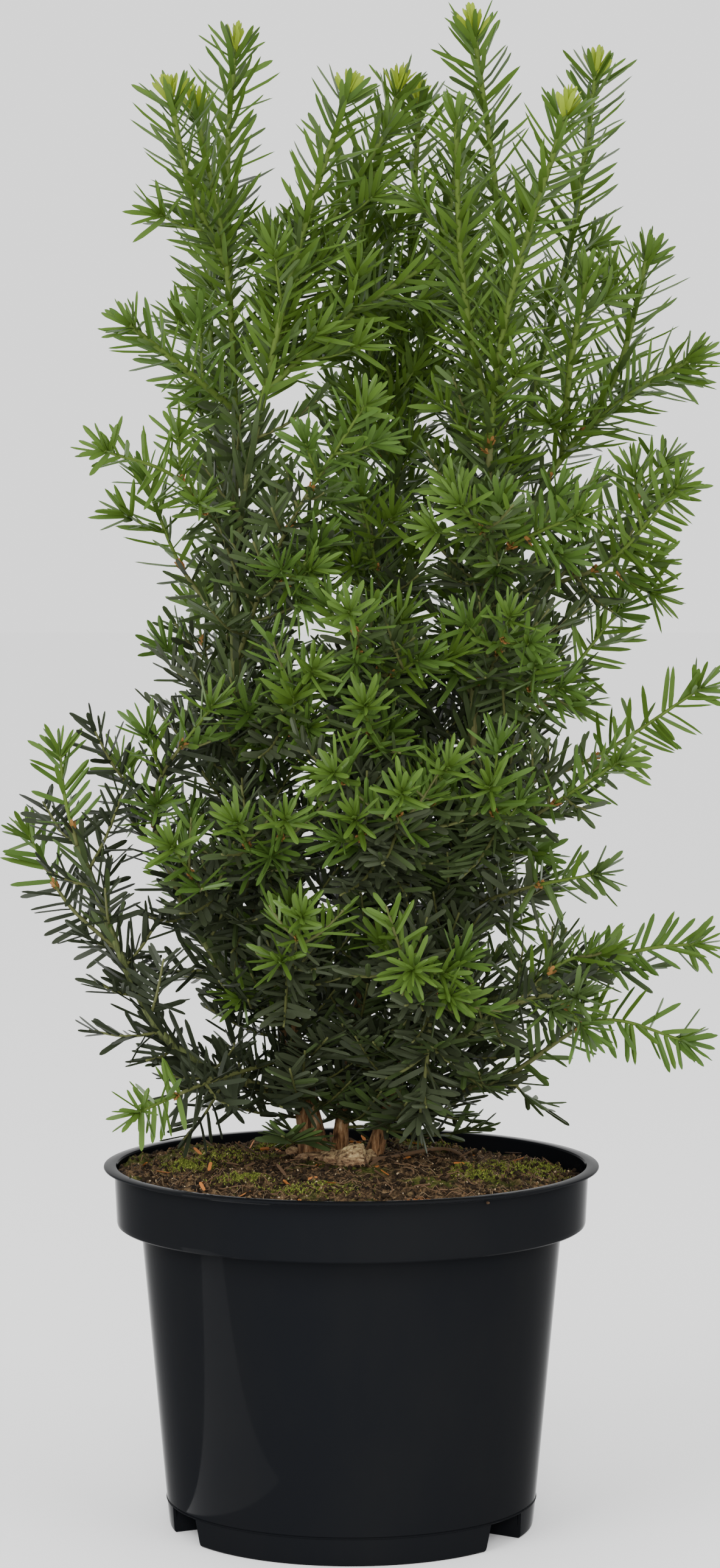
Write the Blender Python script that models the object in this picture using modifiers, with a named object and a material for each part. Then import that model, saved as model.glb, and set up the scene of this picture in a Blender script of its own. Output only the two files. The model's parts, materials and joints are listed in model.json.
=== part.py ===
"""Hybrid yew shrub in its black nursery pot. Metres, +Z up, the front of the plant faces -Y.

The pot stands on z = 0 with its axis on the Z axis. Three stems leave the compost, boughs
leave the stems, and each mass of foliage is one closed solid: twigs with a slim core, and
needles standing out of them. Sizes and places are named in millimetres.
"""

import math
import random
from dataclasses import dataclass

import bmesh
import bpy
import numpy as np
from mathutils import Matrix, Vector
from mathutils.bvhtree import BVHTree

MM = 0.001
MERGE_DISTANCE = 0.00001
SHARP_ANGLE = math.radians(40.0)
PLANT = "potted_hybrid_yew"

# Every piece stands clear of its neighbours by a hair.
CLEARANCE = 0.3
SEATED_GAP = 0.34
SEATING_STEP = 0.04
GAP = 0.45

# Pot: a 7.5 litre container, 270 mm over its lip and 197 mm tall.
POT_HEIGHT = 197.2
LIP_RADIUS = 135.0
LIP_THICKNESS = 1.7
COLLAR_TOP_RADIUS = 129.2
COLLAR_BOTTOM_RADIUS = 127.9
COLLAR_BOTTOM = 164.3
BODY_TOP_RADIUS = 114.7
BASE_RADIUS = 99.6
COLLAR_ROUNDING = 1.6
FOOT_BEVEL = 1.2
LIP_BEVEL = 0.4
LIP_FILLET = 0.8
MOUTH_BEVEL = (0.6, 1.0)
LEDGE_BEVEL = (1.4, 1.1)
LEDGE_SLOPE = 0.3
WALL = 1.5
FLOOR = 3.0
STEPS = 40

# Drain pockets round the foot of the pot, in degrees from +X.
POCKET_AZIMUTHS = (-154.0, -34.0, 86.0)
POCKET_HEIGHT = 14.5
POCKET_DEPTH = 25.0
POCKET_HALF_WIDTH = 18.0
POCKET_LEAN = 0.84
POCKET_COVER_INSET = 2.6
POCKET_COVER_FOOT = 0.8
CUT_BEYOND = 20.0
CUT_BELOW = 5.0

# Compost: level under the stems, then falling to its edge by these radii and heights over
# the edge, and tilted a little outside the level part. Its shoulder is given by insets from
# the inside of the collar and heights over the ledge.
SOIL_TOP = 199.5
SOIL_EDGE = 189.5
SOIL_LEVEL_RADIUS = 44.0
SOIL_FALL = ((66.0, 9.4), (92.0, 7.4), (118.0, 3.6))
SOIL_TILT = 0.012
SOIL_TILT_DEPTH = 5.0
SOIL_SIDE_GAP = CLEARANCE + 0.1
SOIL_EDGE_OUT = 0.5
SOIL_SHOULDER = ((0.3, 4.0), (1.9, 0.4))
SOIL_POCKET_GAPS = 4.0
GROUND = SOIL_TOP + CLEARANCE

# Callused lump in front of the feet of the stems.
CROWN_SIZE = (9.4, 10.8, 9.6)
CROWN_PLACE = (1.0, -9.0)
CROWN_SEGMENTS = (10, 8)

# Limbs thin faster near the foot, and a stem flares where it meets the ground.
TAPER_POWER = 1.6
FLARE_SHARE = 0.16
FLARE_FADE = 16.0
STEM_STEPS = 16
STEM_ROUNDNESS = 2
STEM_CUT = 3.0
BOUGH_STEPS = 8
BOUGH_ROUNDNESS = 1
CURVE_STEPS = 24

# Where a limb stands on another: its foot off a tip, and its flattest run along a side.
STAND_OFF = 1.1
LEAST_SQUARED_SINE = 0.05
RING_SAMPLES = 12

# Twigs have a slim three-sided core, and needles larger than life stand out of it.
TWIG_RADIUS = 2.0
CORE_RADIUS = 4.4
CORE_SWELL = 0.8
TWIG_THINNING = 0.35
BARE_FOOT = 0.10
TWIG_STEP = 50.0
TWIG_LEAST_STEPS = 4
SIDE_TWIG_STEPS = 5
SECTION_HALF_WIDTH = 0.866
SECTION_DEPTH = 1.5
NEEDLE_LENGTH = 31.0
NEEDLE_WIDTH = 7.4
NEEDLE_THICKNESS = 2.0
NEEDLE_WIDEST = 0.36
NEEDLE_ROOM = 0.42 * NEEDLE_WIDTH
NEEDLE_START = CORE_RADIUS + 1.0
NEEDLE_SAMPLES = 13
NEEDLE_PITCH = 12.4
LEAST_NEEDLES = 3
SHORTEST_NEEDLE = 0.88
NEEDLE_LEAN = 62.0
LEAN_SPREAD = 6.0
NEEDLE_CLOSING = 16.0
LAST_NEEDLE = 0.94
TIP_NEEDLES = 2
TIP_PLACE = 0.97
TIP_LEAN = 28.0
TIP_REACH = 0.64
FIRST_TWIG_BARE = 0.24
SIDE_TWIG_BARE = 0.16
SEED = 4200
GOLDEN_ANGLE = math.radians(137.5)
LOWEST_NEEDLE = 202.0
SAG = 0.07

# Where a mass or a bough goes on from the tip of what carries it.
TIP = None

# Colour and roughness of each finish.
POT_PLASTIC = ((0.012, 0.014, 0.017), 0.35)
COMPOST = ((0.05, 0.03, 0.02), 0.95)
CALLUS = ((0.3, 0.22, 0.14), 0.85)
BARK = ((0.16, 0.075, 0.05), 0.85)
GREEN_BARK = ((0.12, 0.14, 0.05), 0.8)
FOLIAGE = ((0.045, 0.10, 0.025), 0.55)


@dataclass(frozen=True)
class Stem:
    """A stem that rises from the ground: points on its axis, radius at foot and at tip."""

    points: tuple
    foot: float
    tip: float


@dataclass(frozen=True)
class Bough:
    """A bough: what carries it and how high, its tip, how far its middle strays, its foot."""

    parent: str
    height: float
    tip: tuple
    belly: tuple
    foot: float


@dataclass(frozen=True)
class Limb:
    """A built stem or bough: its path, the radius at each point, and its surface."""

    path: list
    radii: list
    surface: BVHTree


@dataclass(frozen=True)
class Twig:
    """A twig: its tip, how far its middle strays, and its share of the way up the first."""

    tip: tuple
    belly: tuple = None
    share: float = 0.0


@dataclass(frozen=True)
class Mass:
    """A mass of foliage: what carries it and how high, then its first twig and side twigs."""

    parent: str
    height: float
    twigs: tuple


STEMS = {
    "stem_left": Stem(
        ((-20, 16, GROUND), (-27, 14, 238), (-49, 8, 333), (-60, 0, 407), (-63, -8, 510), (-62, -12, 597)),
        8.6,
        2.2,
    ),
    "stem_middle": Stem(
        ((-7, 25, GROUND), (-1, 27, 247), (14, 28, 338), (21, 30, 415), (21, 38, 533)), 4.6, 2.1
    ),
    "stem_right": Stem(
        ((12, 13, GROUND), (29, 6, 257), (49, 0, 311), (63, -4, 390), (68, -6, 490), (78, 0, 593)), 5.2, 2.2
    ),
}

BOUGHS = {
    "bough_upper_left": Bough("stem_left", 512, (-49, -40, 599), (-2, -6, 0), 2.3),
    "bough_low_left": Bough("stem_left", 228, (-145, -50, 374), (-14, -24, -30), 3.6),
    "bough_inner_left": Bough("stem_left", 268, (-90, -30, 338), (0, -8, -8), 3.0),
    "bough_upper_right": Bough("stem_right", 462, (105, 14, 568), (-5, -2, -2), 2.5),
    "bough_back_right": Bough("stem_right", 492, (98, 42, 610), (0, 6, 0), 2.4),
    "bough_middle_right": Bough("stem_right", 444, (102, 12, 505), (0, 4, 0), 2.4),
    "bough_low_right": Bough("stem_right", 280, (134, -30, 311), (0, -6, -4), 3.2),
    "bough_front_right": Bough("stem_right", 252, (80, -78, 291), (0, 0, -4), 3.0),
    "bough_drooping_right": Bough("stem_right", 226, (87, -20, 249), (0, -2, -3), 3.0),
}

MASSES = {
    "leaders_left": Mass(
        "stem_left",
        TIP,
        (
            Twig((-83, -34, 781), (6, 1, 0)),
            Twig((-95, -54, 788), (-4, -4, -5), 0.50),
            Twig((-63, 30, 818), (-3, 15, 10), 0.42),
            Twig((-116, -60, 648), (0, -4, 0), 0.05),
        ),
    ),
    "leader_left_centre": Mass(
        "bough_upper_left",
        TIP,
        (Twig((-1, -30, 784), (-5, -3, -4)), Twig((46, -20, 686), (-6, 0, 2), 0.08)),
    ),
    "leaders_centre": Mass(
        "stem_middle", TIP, (Twig((38, 70, 798), (1, 12, 0)), Twig((27, 45, 802), (-22, -4, 0), 0.30))
    ),
    "leaders_right_centre": Mass(
        "stem_right", 528, (Twig((112, -80, 768), (-12, -8, 0)), Twig((55, -50, 764), (-6, -5, 0), 0.28))
    ),
    "leader_tallest": Mass("stem_right", TIP, (Twig((65, -14, 814), (8, 3, 0)),)),
    "leader_back_right": Mass("bough_back_right", TIP, (Twig((136, 60, 806), (5, 6, 0)),)),
    "leaders_right": Mass(
        "bough_upper_right",
        TIP,
        (
            Twig((162, 30, 702), (10, 3, -6)),
            Twig((125, -30, 676), (-3, -16, 0), 0.12),
            Twig((184, 0, 634), (4, 0, 6), 0.24),
        ),
    ),
    "spray_upper_right": Mass(
        "bough_middle_right",
        TIP,
        (
            Twig((174, 52, 581), (0, 10, -3)),
            Twig((175, -30, 566), (0, 0, -12), 0.10),
            Twig((166, 10, 525), (0, 0, -4), 0.22),
        ),
    ),
    "spray_front_right_high": Mass(
        "stem_right", 506, (Twig((119, -90, 549), (-14, 0, 2)), Twig((56, -98, 554), (0, -4, 0), 0.42))
    ),
    "spray_front_right": Mass(
        "stem_right", 456, (Twig((82, -104, 496)), Twig((112, -76, 458), None, 0.35))
    ),
    "spray_right_back": Mass("stem_right", 418, (Twig((148, 22, 500)),)),
    "spray_right_outer": Mass("stem_right", 396, (Twig((187, -30, 457)),)),
    "spray_right_middle": Mass(
        "stem_right", 364, (Twig((140, -90, 421), (0, -12, 0)), Twig((71, -114, 409), None, 0.30))
    ),
    "spray_right_thin": Mass("stem_right", 334, (Twig((128, -100, 363), (0, -14, 4)),)),
    "spray_low_right": Mass("bough_low_right", TIP, (Twig((186, -30, 320), (0, 0, 2)),)),
    "spray_front_low_right": Mass(
        "bough_front_right",
        TIP,
        (Twig((121, -112, 283), (4, -4, 12)), Twig((134, -62, 318), (0, 0, 8), 0.15)),
    ),
    "spray_drooping_right": Mass("bough_drooping_right", TIP, (Twig((178, -50, 270), (0, -4, 20)),)),
    "spray_front_low": Mass(
        "stem_right", 300, (Twig((32, -130, 316), (-8, 0, 4)), Twig((52, -104, 300), None, 0.45))
    ),
    "spray_front_low_left": Mass("stem_left", 292, (Twig((-25, -122, 343)),)),
    "spray_front_left": Mass(
        "stem_left", 350, (Twig((-33, -122, 393)), Twig((-59, -112, 391), None, 0.45))
    ),
    "spray_left_front": Mass("stem_left", 320, (Twig((-93, -102, 378)),)),
    "spray_left_inner": Mass(
        "bough_inner_left",
        TIP,
        (Twig((-72, -80, 450), (-24, 8, 4)), Twig((-124, -20, 417), (-4, 6, 0), 0.42)),
    ),
    "spray_left_tip": Mass("bough_low_left", TIP, (Twig((-155, -40, 424), (-2, 0, 0)),)),
    "spray_left_outer": Mass("bough_low_left", 318, (Twig((-175, -4, 377), (-4, 6, -6)),)),
    "spray_left_low": Mass("stem_left", 254, (Twig((-108, -144, 245), (-4, -6, 2)),)),
    "spray_left_high": Mass("stem_left", 530, (Twig((-127, -100, 581), (4, -8, 12)),)),
    "spray_left_middle": Mass("stem_left", 486, (Twig((-112, 0, 571), (-4, 4, -8)),)),
    "spray_centre_high": Mass(
        "stem_left", 470, (Twig((8, -90, 606), (-8, -10, 0)), Twig((-20, -84, 520), (0, 0, -4), 0.34))
    ),
    "spray_centre_upper": Mass("stem_middle", 484, (Twig((5, -46, 560), (0, -12, 0)),)),
    "spray_front_upper": Mass(
        "stem_left", 430, (Twig((-19, -104, 469)), Twig((-22, -88, 438), None, 0.40))
    ),
    "spray_front_centre_high": Mass(
        "stem_middle", 452, (Twig((-1, -132, 499)), Twig((36, -92, 474), None, 0.50))
    ),
    "spray_front_centre": Mass(
        "stem_middle", 398, (Twig((7, -120, 451)), Twig((-9, -136, 417), None, 0.45))
    ),
    "spray_front_centre_low": Mass(
        "stem_middle",
        352,
        (
            Twig((26, -148, 408)),
            Twig((50, -124, 420), None, 0.45),
            Twig((2, -128, 394), None, 0.40),
        ),
    ),
    "spray_back_left_high": Mass("stem_left", 500, (Twig((-81, 88, 714), (-4, 18, 0)),)),
    "spray_back_right_high": Mass("stem_right", 478, (Twig((66, 102, 730), (-2, 18, 0)),)),
    "spray_back_centre_high": Mass("stem_middle", 500, (Twig((-10, 116, 624), (0, 10, 0)),)),
    "spray_back_left": Mass("stem_left", 420, (Twig((-90, 100, 502)), Twig((-42, 112, 492), None, 0.45))),
    "spray_back_right": Mass("stem_right", 436, (Twig((104, 106, 512)), Twig((56, 112, 506), None, 0.45))),
    "spray_back_low_left": Mass(
        "stem_left", 286, (Twig((-102, 110, 348)), Twig((-50, 124, 332), None, 0.45))
    ),
    "spray_back_low_right": Mass(
        "stem_middle", 306, (Twig((84, 122, 354)), Twig((108, 84, 346), None, 0.55))
    ),
    "spray_back_low": Mass("stem_middle", 262, (Twig((-10, 138, 306)),)),
    "spray_back_middle": Mass("stem_middle", 402, (Twig((4, 142, 464)), Twig((50, 126, 426), None, 0.45))),
}


def clear_scene():
    """Remove every object of the start-up scene."""
    for found in list(bpy.data.objects):
        bpy.data.objects.remove(found, do_unlink=True)


def set_material(target, name, colour, roughness):
    """Give an object its own plain Principled material."""
    made = bpy.data.materials.new(name)
    made.use_nodes = True
    shader = made.node_tree.nodes["Principled BSDF"]
    shader.inputs["Base Color"].default_value = (*colour, 1.0)
    shader.inputs["Roughness"].default_value = roughness
    made.diffuse_color = (*colour, 1.0)
    target.data.materials.clear()
    target.data.materials.append(made)


def link(name, data, collection=None):
    """Make an object from mesh or curve data, among the plant's parts unless told otherwise."""
    made = bpy.data.objects.new(name, data)
    (collection or bpy.data.collections[PLANT]).objects.link(made)
    return made


def new_collection(name):
    """A collection that is linked to the scene."""
    made = bpy.data.collections.new(name)
    bpy.context.scene.collection.children.link(made)
    return made


def shade_smooth(target):
    """Shade a round piece smooth, with its edges kept sharp by angle."""
    target.data.shade_smooth()
    target.data.set_sharp_from_angle(angle=SHARP_ANGLE)


def apply_modifiers(target):
    """Apply every modifier of an object, in order."""
    bpy.context.view_layer.objects.active = target
    for modifier in list(target.modifiers):
        bpy.ops.object.modifier_apply(modifier=modifier.name)


def turned(name, profile, steps):
    """A turned solid: a profile of (radius, height) points round the Z axis by Screw."""
    outline = bmesh.new()
    spots = [outline.verts.new((radius * MM, 0.0, height * MM)) for radius, height in profile]
    for first, second in zip(spots, spots[1:]):
        outline.edges.new((first, second))
    mesh = bpy.data.meshes.new(name)
    outline.to_mesh(mesh)
    outline.free()
    made = link(name, mesh)
    screw = made.modifiers.new("turn", "SCREW")
    screw.steps = steps
    screw.render_steps = steps
    screw.use_merge_vertices = True
    screw.merge_threshold = MERGE_DISTANCE
    screw.use_normal_calculate = True
    apply_modifiers(made)
    return made


def pocket_block(name, half_width, near, far, bottom, top, azimuth, collection):
    """A block along a radius of the pot whose sides lean inwards towards its top."""
    block = bmesh.new()
    bmesh.ops.create_cube(block, size=1.0)
    bmesh.ops.scale(block, vec=(far - near, 2.0 * half_width, top - bottom), verts=block.verts)
    for vertex in block.verts:
        if vertex.co.z > 0.0:
            vertex.co.y *= POCKET_LEAN
    middle = Vector((0.5 * (near + far), 0.0, 0.5 * (bottom + top)))
    turn = Matrix.Rotation(math.radians(azimuth), 4, "Z") @ Matrix.Translation(middle)
    bmesh.ops.transform(block, matrix=Matrix.Scale(MM, 4) @ turn, verts=block.verts)
    mesh = bpy.data.meshes.new(name)
    block.to_mesh(mesh)
    block.free()
    return link(name, mesh, collection)


def apply_boolean(target, operation, collection):
    """Apply one Boolean of a whole collection to the target, then remove its objects."""
    for cutter in collection.objects:
        cutter.hide_render = True
        cutter.display_type = "WIRE"
    modifier = target.modifiers.new("join", "BOOLEAN")
    modifier.operation = operation
    modifier.solver = "EXACT"
    modifier.operand_type = "COLLECTION"
    modifier.collection = collection
    apply_modifiers(target)
    for cutter in list(collection.objects):
        bpy.data.objects.remove(cutter, do_unlink=True)
    bpy.data.collections.remove(collection)


def keep_largest(target):
    """Drop loose scraps and sealed hollows: keep the shell with the most vertices."""
    built = bmesh.new()
    built.from_mesh(target.data)
    left = set(built.verts)
    shells = []
    while left:
        shell = [left.pop()]
        for vertex in shell:
            for edge in vertex.link_edges:
                other = edge.other_vert(vertex)
                if other in left:
                    left.discard(other)
                    shell.append(other)
        shells.append(shell)
    shells.sort(key=len, reverse=True)
    for shell in shells[1:]:
        bmesh.ops.delete(built, geom=shell, context="VERTS")
    built.to_mesh(target.data)
    built.free()


def even_points(points, count):
    """Evenly spaced points along a smooth line through the given points."""
    knots = [Vector(point) for point in points]
    knots = [knots[0] * 2 - knots[1]] + knots + [knots[-1] * 2 - knots[-2]]
    fine = []
    for index in range(1, len(knots) - 2):
        before, start, end, after = knots[index - 1 : index + 3]
        for step in range(CURVE_STEPS):
            t = step / CURVE_STEPS
            bend = (2 * before - 5 * start + 4 * end - after) * t * t
            turn = (3 * start - before - 3 * end + after) * t * t * t
            fine.append(0.5 * (2 * start + (end - before) * t + bend + turn))
    fine.append(knots[-2])
    lengths = [0.0]
    for first, second in zip(fine, fine[1:]):
        lengths.append(lengths[-1] + (second - first).length)
    found = []
    at = 0
    for index in range(count + 1):
        wanted = lengths[-1] * index / count
        while at < len(fine) - 2 and lengths[at + 1] < wanted:
            at += 1
        share = (wanted - lengths[at]) / (lengths[at + 1] - lengths[at])
        found.append(fine[at].lerp(fine[at + 1], min(max(share, 0.0), 1.0)))
    return found


def bowed_middle(start, tip, belly):
    """The middle of a path: it strays from the chord by belly, or sags where that is None."""
    tip = Vector(tip)
    if belly is None:
        belly = (0.0, 0.0, -SAG * (tip - start).length)
    return (start + tip) * 0.5 + Vector(belly)


def bowed_path(start, tip, belly, count):
    """A path from start to tip through its bowed middle."""
    return even_points((start, bowed_middle(start, tip, belly), tip), count)


def point_along(path, share):
    """The point and the direction at a share of a path's length."""
    exact = share * (len(path) - 1)
    at = min(int(exact), len(path) - 2)
    spot = path[at].lerp(path[at + 1], exact - at)
    return spot, (path[at + 1] - path[at]).normalized()


def swept(name, path, radii, section, collection=None):
    """A closed tapering tube along a path, round by a resolution or with a curve's section."""
    data = bpy.data.curves.new(name, "CURVE")
    data.dimensions = "3D"
    data.use_fill_caps = True
    if isinstance(section, int):
        data.bevel_depth = MM
        data.bevel_resolution = section
    else:
        data.bevel_mode = "OBJECT"
        data.bevel_object = section
    spline = data.splines.new("POLY")
    spline.points.add(len(path) - 1)
    for point, spot, radius in zip(spline.points, path, radii):
        point.co = (*(spot * MM), 1.0)
        point.radius = radius
    made = link(name, data, collection)
    bpy.ops.object.select_all(action="DESELECT")
    made.select_set(True)
    bpy.context.view_layer.objects.active = made
    bpy.ops.object.convert(target="MESH")
    made = bpy.context.view_layer.objects.active
    built = bmesh.new()
    built.from_mesh(made.data)
    bmesh.ops.remove_doubles(built, verts=built.verts, dist=MERGE_DISTANCE)
    bmesh.ops.recalc_face_normals(built, faces=built.faces)
    built.to_mesh(made.data)
    built.free()
    return made


def triangle_section():
    """A three-sided section of radius 1 mm for the twigs."""
    data = bpy.data.curves.new("twig_section", "CURVE")
    data.dimensions = "2D"
    spline = data.splines.new("POLY")
    spline.points.add(2)
    for index, point in enumerate(spline.points):
        angle = math.tau * index / 3
        point.co = (MM * math.cos(angle), MM * math.sin(angle), 0.0, 1.0)
    spline.use_cyclic_u = True
    return link("twig_section", data)


def needle_mesh():
    """One needle along +Z, 1 mm long before it is scaled: a flat cone poked to a point."""
    built = bmesh.new()
    bmesh.ops.create_cone(
        built, cap_ends=True, cap_tris=False, segments=3, radius1=1.0, radius2=0.0, depth=1.0
    )
    bmesh.ops.remove_doubles(built, verts=built.verts, dist=MERGE_DISTANCE)
    base = min(built.faces, key=lambda face: face.calc_center_median().z)
    foot = bmesh.ops.poke(built, faces=[base])["verts"][0]
    for vertex in built.verts:
        vertex.co.z = NEEDLE_WIDEST if vertex.co.z < 0.0 else 1.0
        vertex.co.x *= 0.5 * NEEDLE_WIDTH / SECTION_HALF_WIDTH
        vertex.co.y *= NEEDLE_THICKNESS / SECTION_DEPTH
    foot.co = (0.0, 0.0, 0.0)
    bmesh.ops.recalc_face_normals(built, faces=built.faces)
    mesh = bpy.data.meshes.new("needle")
    built.to_mesh(mesh)
    built.free()
    return mesh


class Space:
    """The room taken by every limb, twig and needle, kept as rods with an owner and a radius."""

    def __init__(self):
        """Start with nothing taken."""
        self.starts = []
        self.ends = []
        self.radii = []
        self.owners = []

    def take(self, owner, path, radii):
        """Note a limb or twig as a row of rods."""
        for index in range(len(path) - 1):
            self.add(owner, path[index], path[index + 1], max(radii[index], radii[index + 1]))

    def add(self, owner, start, end, radius):
        """Note one rod."""
        self.starts.append(tuple(start))
        self.ends.append(tuple(end))
        self.radii.append(radius)
        self.owners.append(owner)

    def is_clear(self, owner, start, end, radius):
        """Tell whether a rod keeps its distance from everything that others own."""
        keep = np.array([other != owner for other in self.owners])
        foot = np.array(self.starts)[keep]
        along = np.array(self.ends)[keep] - foot
        limits = np.array(self.radii)[keep] + radius + GAP
        squares = (along * along).sum(1)
        for share in np.linspace(0.0, 1.0, NEEDLE_SAMPLES):
            spot = np.array(start.lerp(end, float(share)))
            at = np.clip(((spot - foot) * along).sum(1) / squares, 0.0, 1.0)
            gaps = np.linalg.norm(foot + along * at[:, None] - spot, axis=1)
            if (gaps < limits).any():
                return False
        return True


def place_at_height(path, radii, height):
    """The point, direction and radius of a limb where it first passes a height."""
    for low, high, first, second in zip(path, path[1:], radii, radii[1:]):
        if low.z <= height <= high.z:
            share = (height - low.z) / (high.z - low.z)
            return low.lerp(high, share), (high - low).normalized(), first + (second - first) * share
    return path[-1], (path[-1] - path[-2]).normalized(), radii[-1]


def ring_gap(limb, centre, aim, radius):
    """How far a ring of points round an axis stays from the surface of a limb."""
    across = aim.orthogonal().normalized() * radius
    gaps = []
    for index in range(RING_SAMPLES):
        spot = centre + Matrix.Rotation(math.tau * index / RING_SAMPLES, 3, aim) @ across
        gaps.append(limb.surface.find_nearest(spot * MM)[3] / MM)
    return min(gaps)


def standing_point(limb, height, tip, belly, radius):
    """Where a limb of a radius starts so that its foot stands just clear of what carries it."""
    if height is TIP:
        end = limb.path[-1]
        along = (end - limb.path[-2]).normalized()
        lean = (bowed_middle(end, tip, belly) - end).angle(along)
        return end + along * (CLEARANCE + STAND_OFF * radius * math.sin(lean))
    centre, along, thick = place_at_height(limb.path, limb.radii, height)
    aim = (bowed_middle(centre, tip, belly) - centre).normalized()
    cosine = abs(aim.dot(along))
    sine = math.sqrt(max(1.0 - cosine * cosine, LEAST_SQUARED_SINE))
    reach = (thick + CLEARANCE + radius * cosine) / sine
    while ring_gap(limb, centre + aim * (reach - SEATING_STEP), aim, radius) > SEATED_GAP:
        reach -= SEATING_STEP
    return centre + aim * reach


def build_pot():
    """The container with its collar, lip, floor and drain pockets."""
    inner_top = COLLAR_TOP_RADIUS - WALL
    inner_low = COLLAR_BOTTOM_RADIUS - WALL
    ledge = COLLAR_BOTTOM + WALL
    profile = (
        (0.0, FLOOR),
        (BASE_RADIUS - WALL, FLOOR),
        (BODY_TOP_RADIUS - WALL, ledge - LEDGE_SLOPE),
        (inner_low - LEDGE_BEVEL[0], ledge),
        (inner_low, ledge + LEDGE_BEVEL[1]),
        (inner_top, POT_HEIGHT - MOUTH_BEVEL[1]),
        (inner_top + MOUTH_BEVEL[0], POT_HEIGHT),
        (LIP_RADIUS - LIP_BEVEL, POT_HEIGHT),
        (LIP_RADIUS, POT_HEIGHT - 0.5 * LIP_THICKNESS),
        (LIP_RADIUS - LIP_BEVEL, POT_HEIGHT - LIP_THICKNESS),
        (COLLAR_TOP_RADIUS, POT_HEIGHT - LIP_THICKNESS - LIP_FILLET),
        (COLLAR_BOTTOM_RADIUS, COLLAR_BOTTOM + COLLAR_ROUNDING),
        (COLLAR_BOTTOM_RADIUS - COLLAR_ROUNDING, COLLAR_BOTTOM),
        (BODY_TOP_RADIUS, COLLAR_BOTTOM),
        (BASE_RADIUS, FOOT_BEVEL),
        (BASE_RADIUS - FOOT_BEVEL, 0.0),
        (0.0, 0.0),
    )
    pot = turned("pot", profile, STEPS)
    covers = new_collection("pocket_covers")
    cuts = new_collection("pocket_cuts")
    near = BASE_RADIUS - POCKET_DEPTH
    for azimuth in POCKET_AZIMUTHS:
        pocket_block(
            "pocket_cover",
            POCKET_HALF_WIDTH + WALL,
            near - WALL,
            BASE_RADIUS - POCKET_COVER_INSET,
            POCKET_COVER_FOOT,
            POCKET_HEIGHT + WALL,
            azimuth,
            covers,
        )
        pocket_block(
            "pocket_cut",
            POCKET_HALF_WIDTH,
            near,
            BASE_RADIUS + CUT_BEYOND,
            -CUT_BELOW,
            POCKET_HEIGHT,
            azimuth,
            cuts,
        )
    apply_boolean(pot, "UNION", covers)
    apply_boolean(pot, "DIFFERENCE", cuts)
    keep_largest(pot)
    shade_smooth(pot)
    set_material(pot, "pot_plastic", *POT_PLASTIC)


def build_soil():
    """The compost that fills the pot, clear of its wall and of the covers of the pockets."""
    inner_low = COLLAR_BOTTOM_RADIUS - WALL
    side = SOIL_SIDE_GAP
    ledge = COLLAR_BOTTOM + WALL + side
    profile = (
        (0.0, SOIL_TOP),
        (SOIL_LEVEL_RADIUS, SOIL_TOP),
        *((radius, SOIL_EDGE + rise) for radius, rise in SOIL_FALL),
        (inner_low + SOIL_EDGE_OUT, SOIL_EDGE),
        *((inner_low - inset, ledge + rise) for inset, rise in SOIL_SHOULDER),
        (BODY_TOP_RADIUS - WALL - side, ledge + SOIL_SHOULDER[-1][1]),
        (BASE_RADIUS - WALL - side, FLOOR + side),
        (0.0, FLOOR + side),
    )
    soil = turned("soil", profile, STEPS)
    for vertex in soil.data.vertices:
        spread = math.hypot(vertex.co.x, vertex.co.y) - SOIL_LEVEL_RADIUS * MM
        if vertex.co.z > (SOIL_EDGE - SOIL_TILT_DEPTH) * MM and spread > 0.0:
            vertex.co.z += SOIL_TILT * (vertex.co.x - vertex.co.y)
    cuts = new_collection("soil_cuts")
    for azimuth in POCKET_AZIMUTHS:
        pocket_block(
            "soil_cut",
            POCKET_HALF_WIDTH + WALL + SOIL_POCKET_GAPS * side,
            BASE_RADIUS - POCKET_DEPTH - WALL - side,
            BASE_RADIUS + CUT_BEYOND,
            -CUT_BELOW,
            POCKET_HEIGHT + WALL + side,
            azimuth,
            cuts,
        )
    apply_boolean(soil, "DIFFERENCE", cuts)
    keep_largest(soil)
    shade_smooth(soil)
    set_material(soil, "compost", *COMPOST)


def build_root_crown():
    """The callused lump before the feet of the stems, flat where it meets the compost."""
    built = bmesh.new()
    around, upwards = CROWN_SEGMENTS
    bmesh.ops.create_uvsphere(built, u_segments=around, v_segments=upwards, radius=MM)
    level = Vector((0.0, 0.0, 0.0))
    everything = built.verts[:] + built.edges[:] + built.faces[:]
    cut = bmesh.ops.bisect_plane(
        built, geom=everything, plane_co=level, plane_no=(0.0, 0.0, -1.0), clear_outer=True
    )
    rim = [piece for piece in cut["geom_cut"] if isinstance(piece, bmesh.types.BMEdge)]
    bmesh.ops.edgeloop_fill(built, edges=rim)
    bmesh.ops.recalc_face_normals(built, faces=built.faces)
    bmesh.ops.scale(built, vec=CROWN_SIZE, verts=built.verts)
    bmesh.ops.translate(built, vec=Vector((*CROWN_PLACE, GROUND)) * MM, verts=built.verts)
    mesh = bpy.data.meshes.new("root_crown")
    built.to_mesh(mesh)
    built.free()
    crown = link("root_crown", mesh)
    shade_smooth(crown)
    set_material(crown, "callus", *CALLUS)


def note_limb(limbs, space, name, made, path, radii):
    """Keep a built stem or bough, so that others stand on it and needles stay off it."""
    surface = BVHTree.FromObject(made, bpy.context.evaluated_depsgraph_get())
    limbs[name] = Limb(path, radii, surface)
    space.take(name, path, radii)


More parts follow.
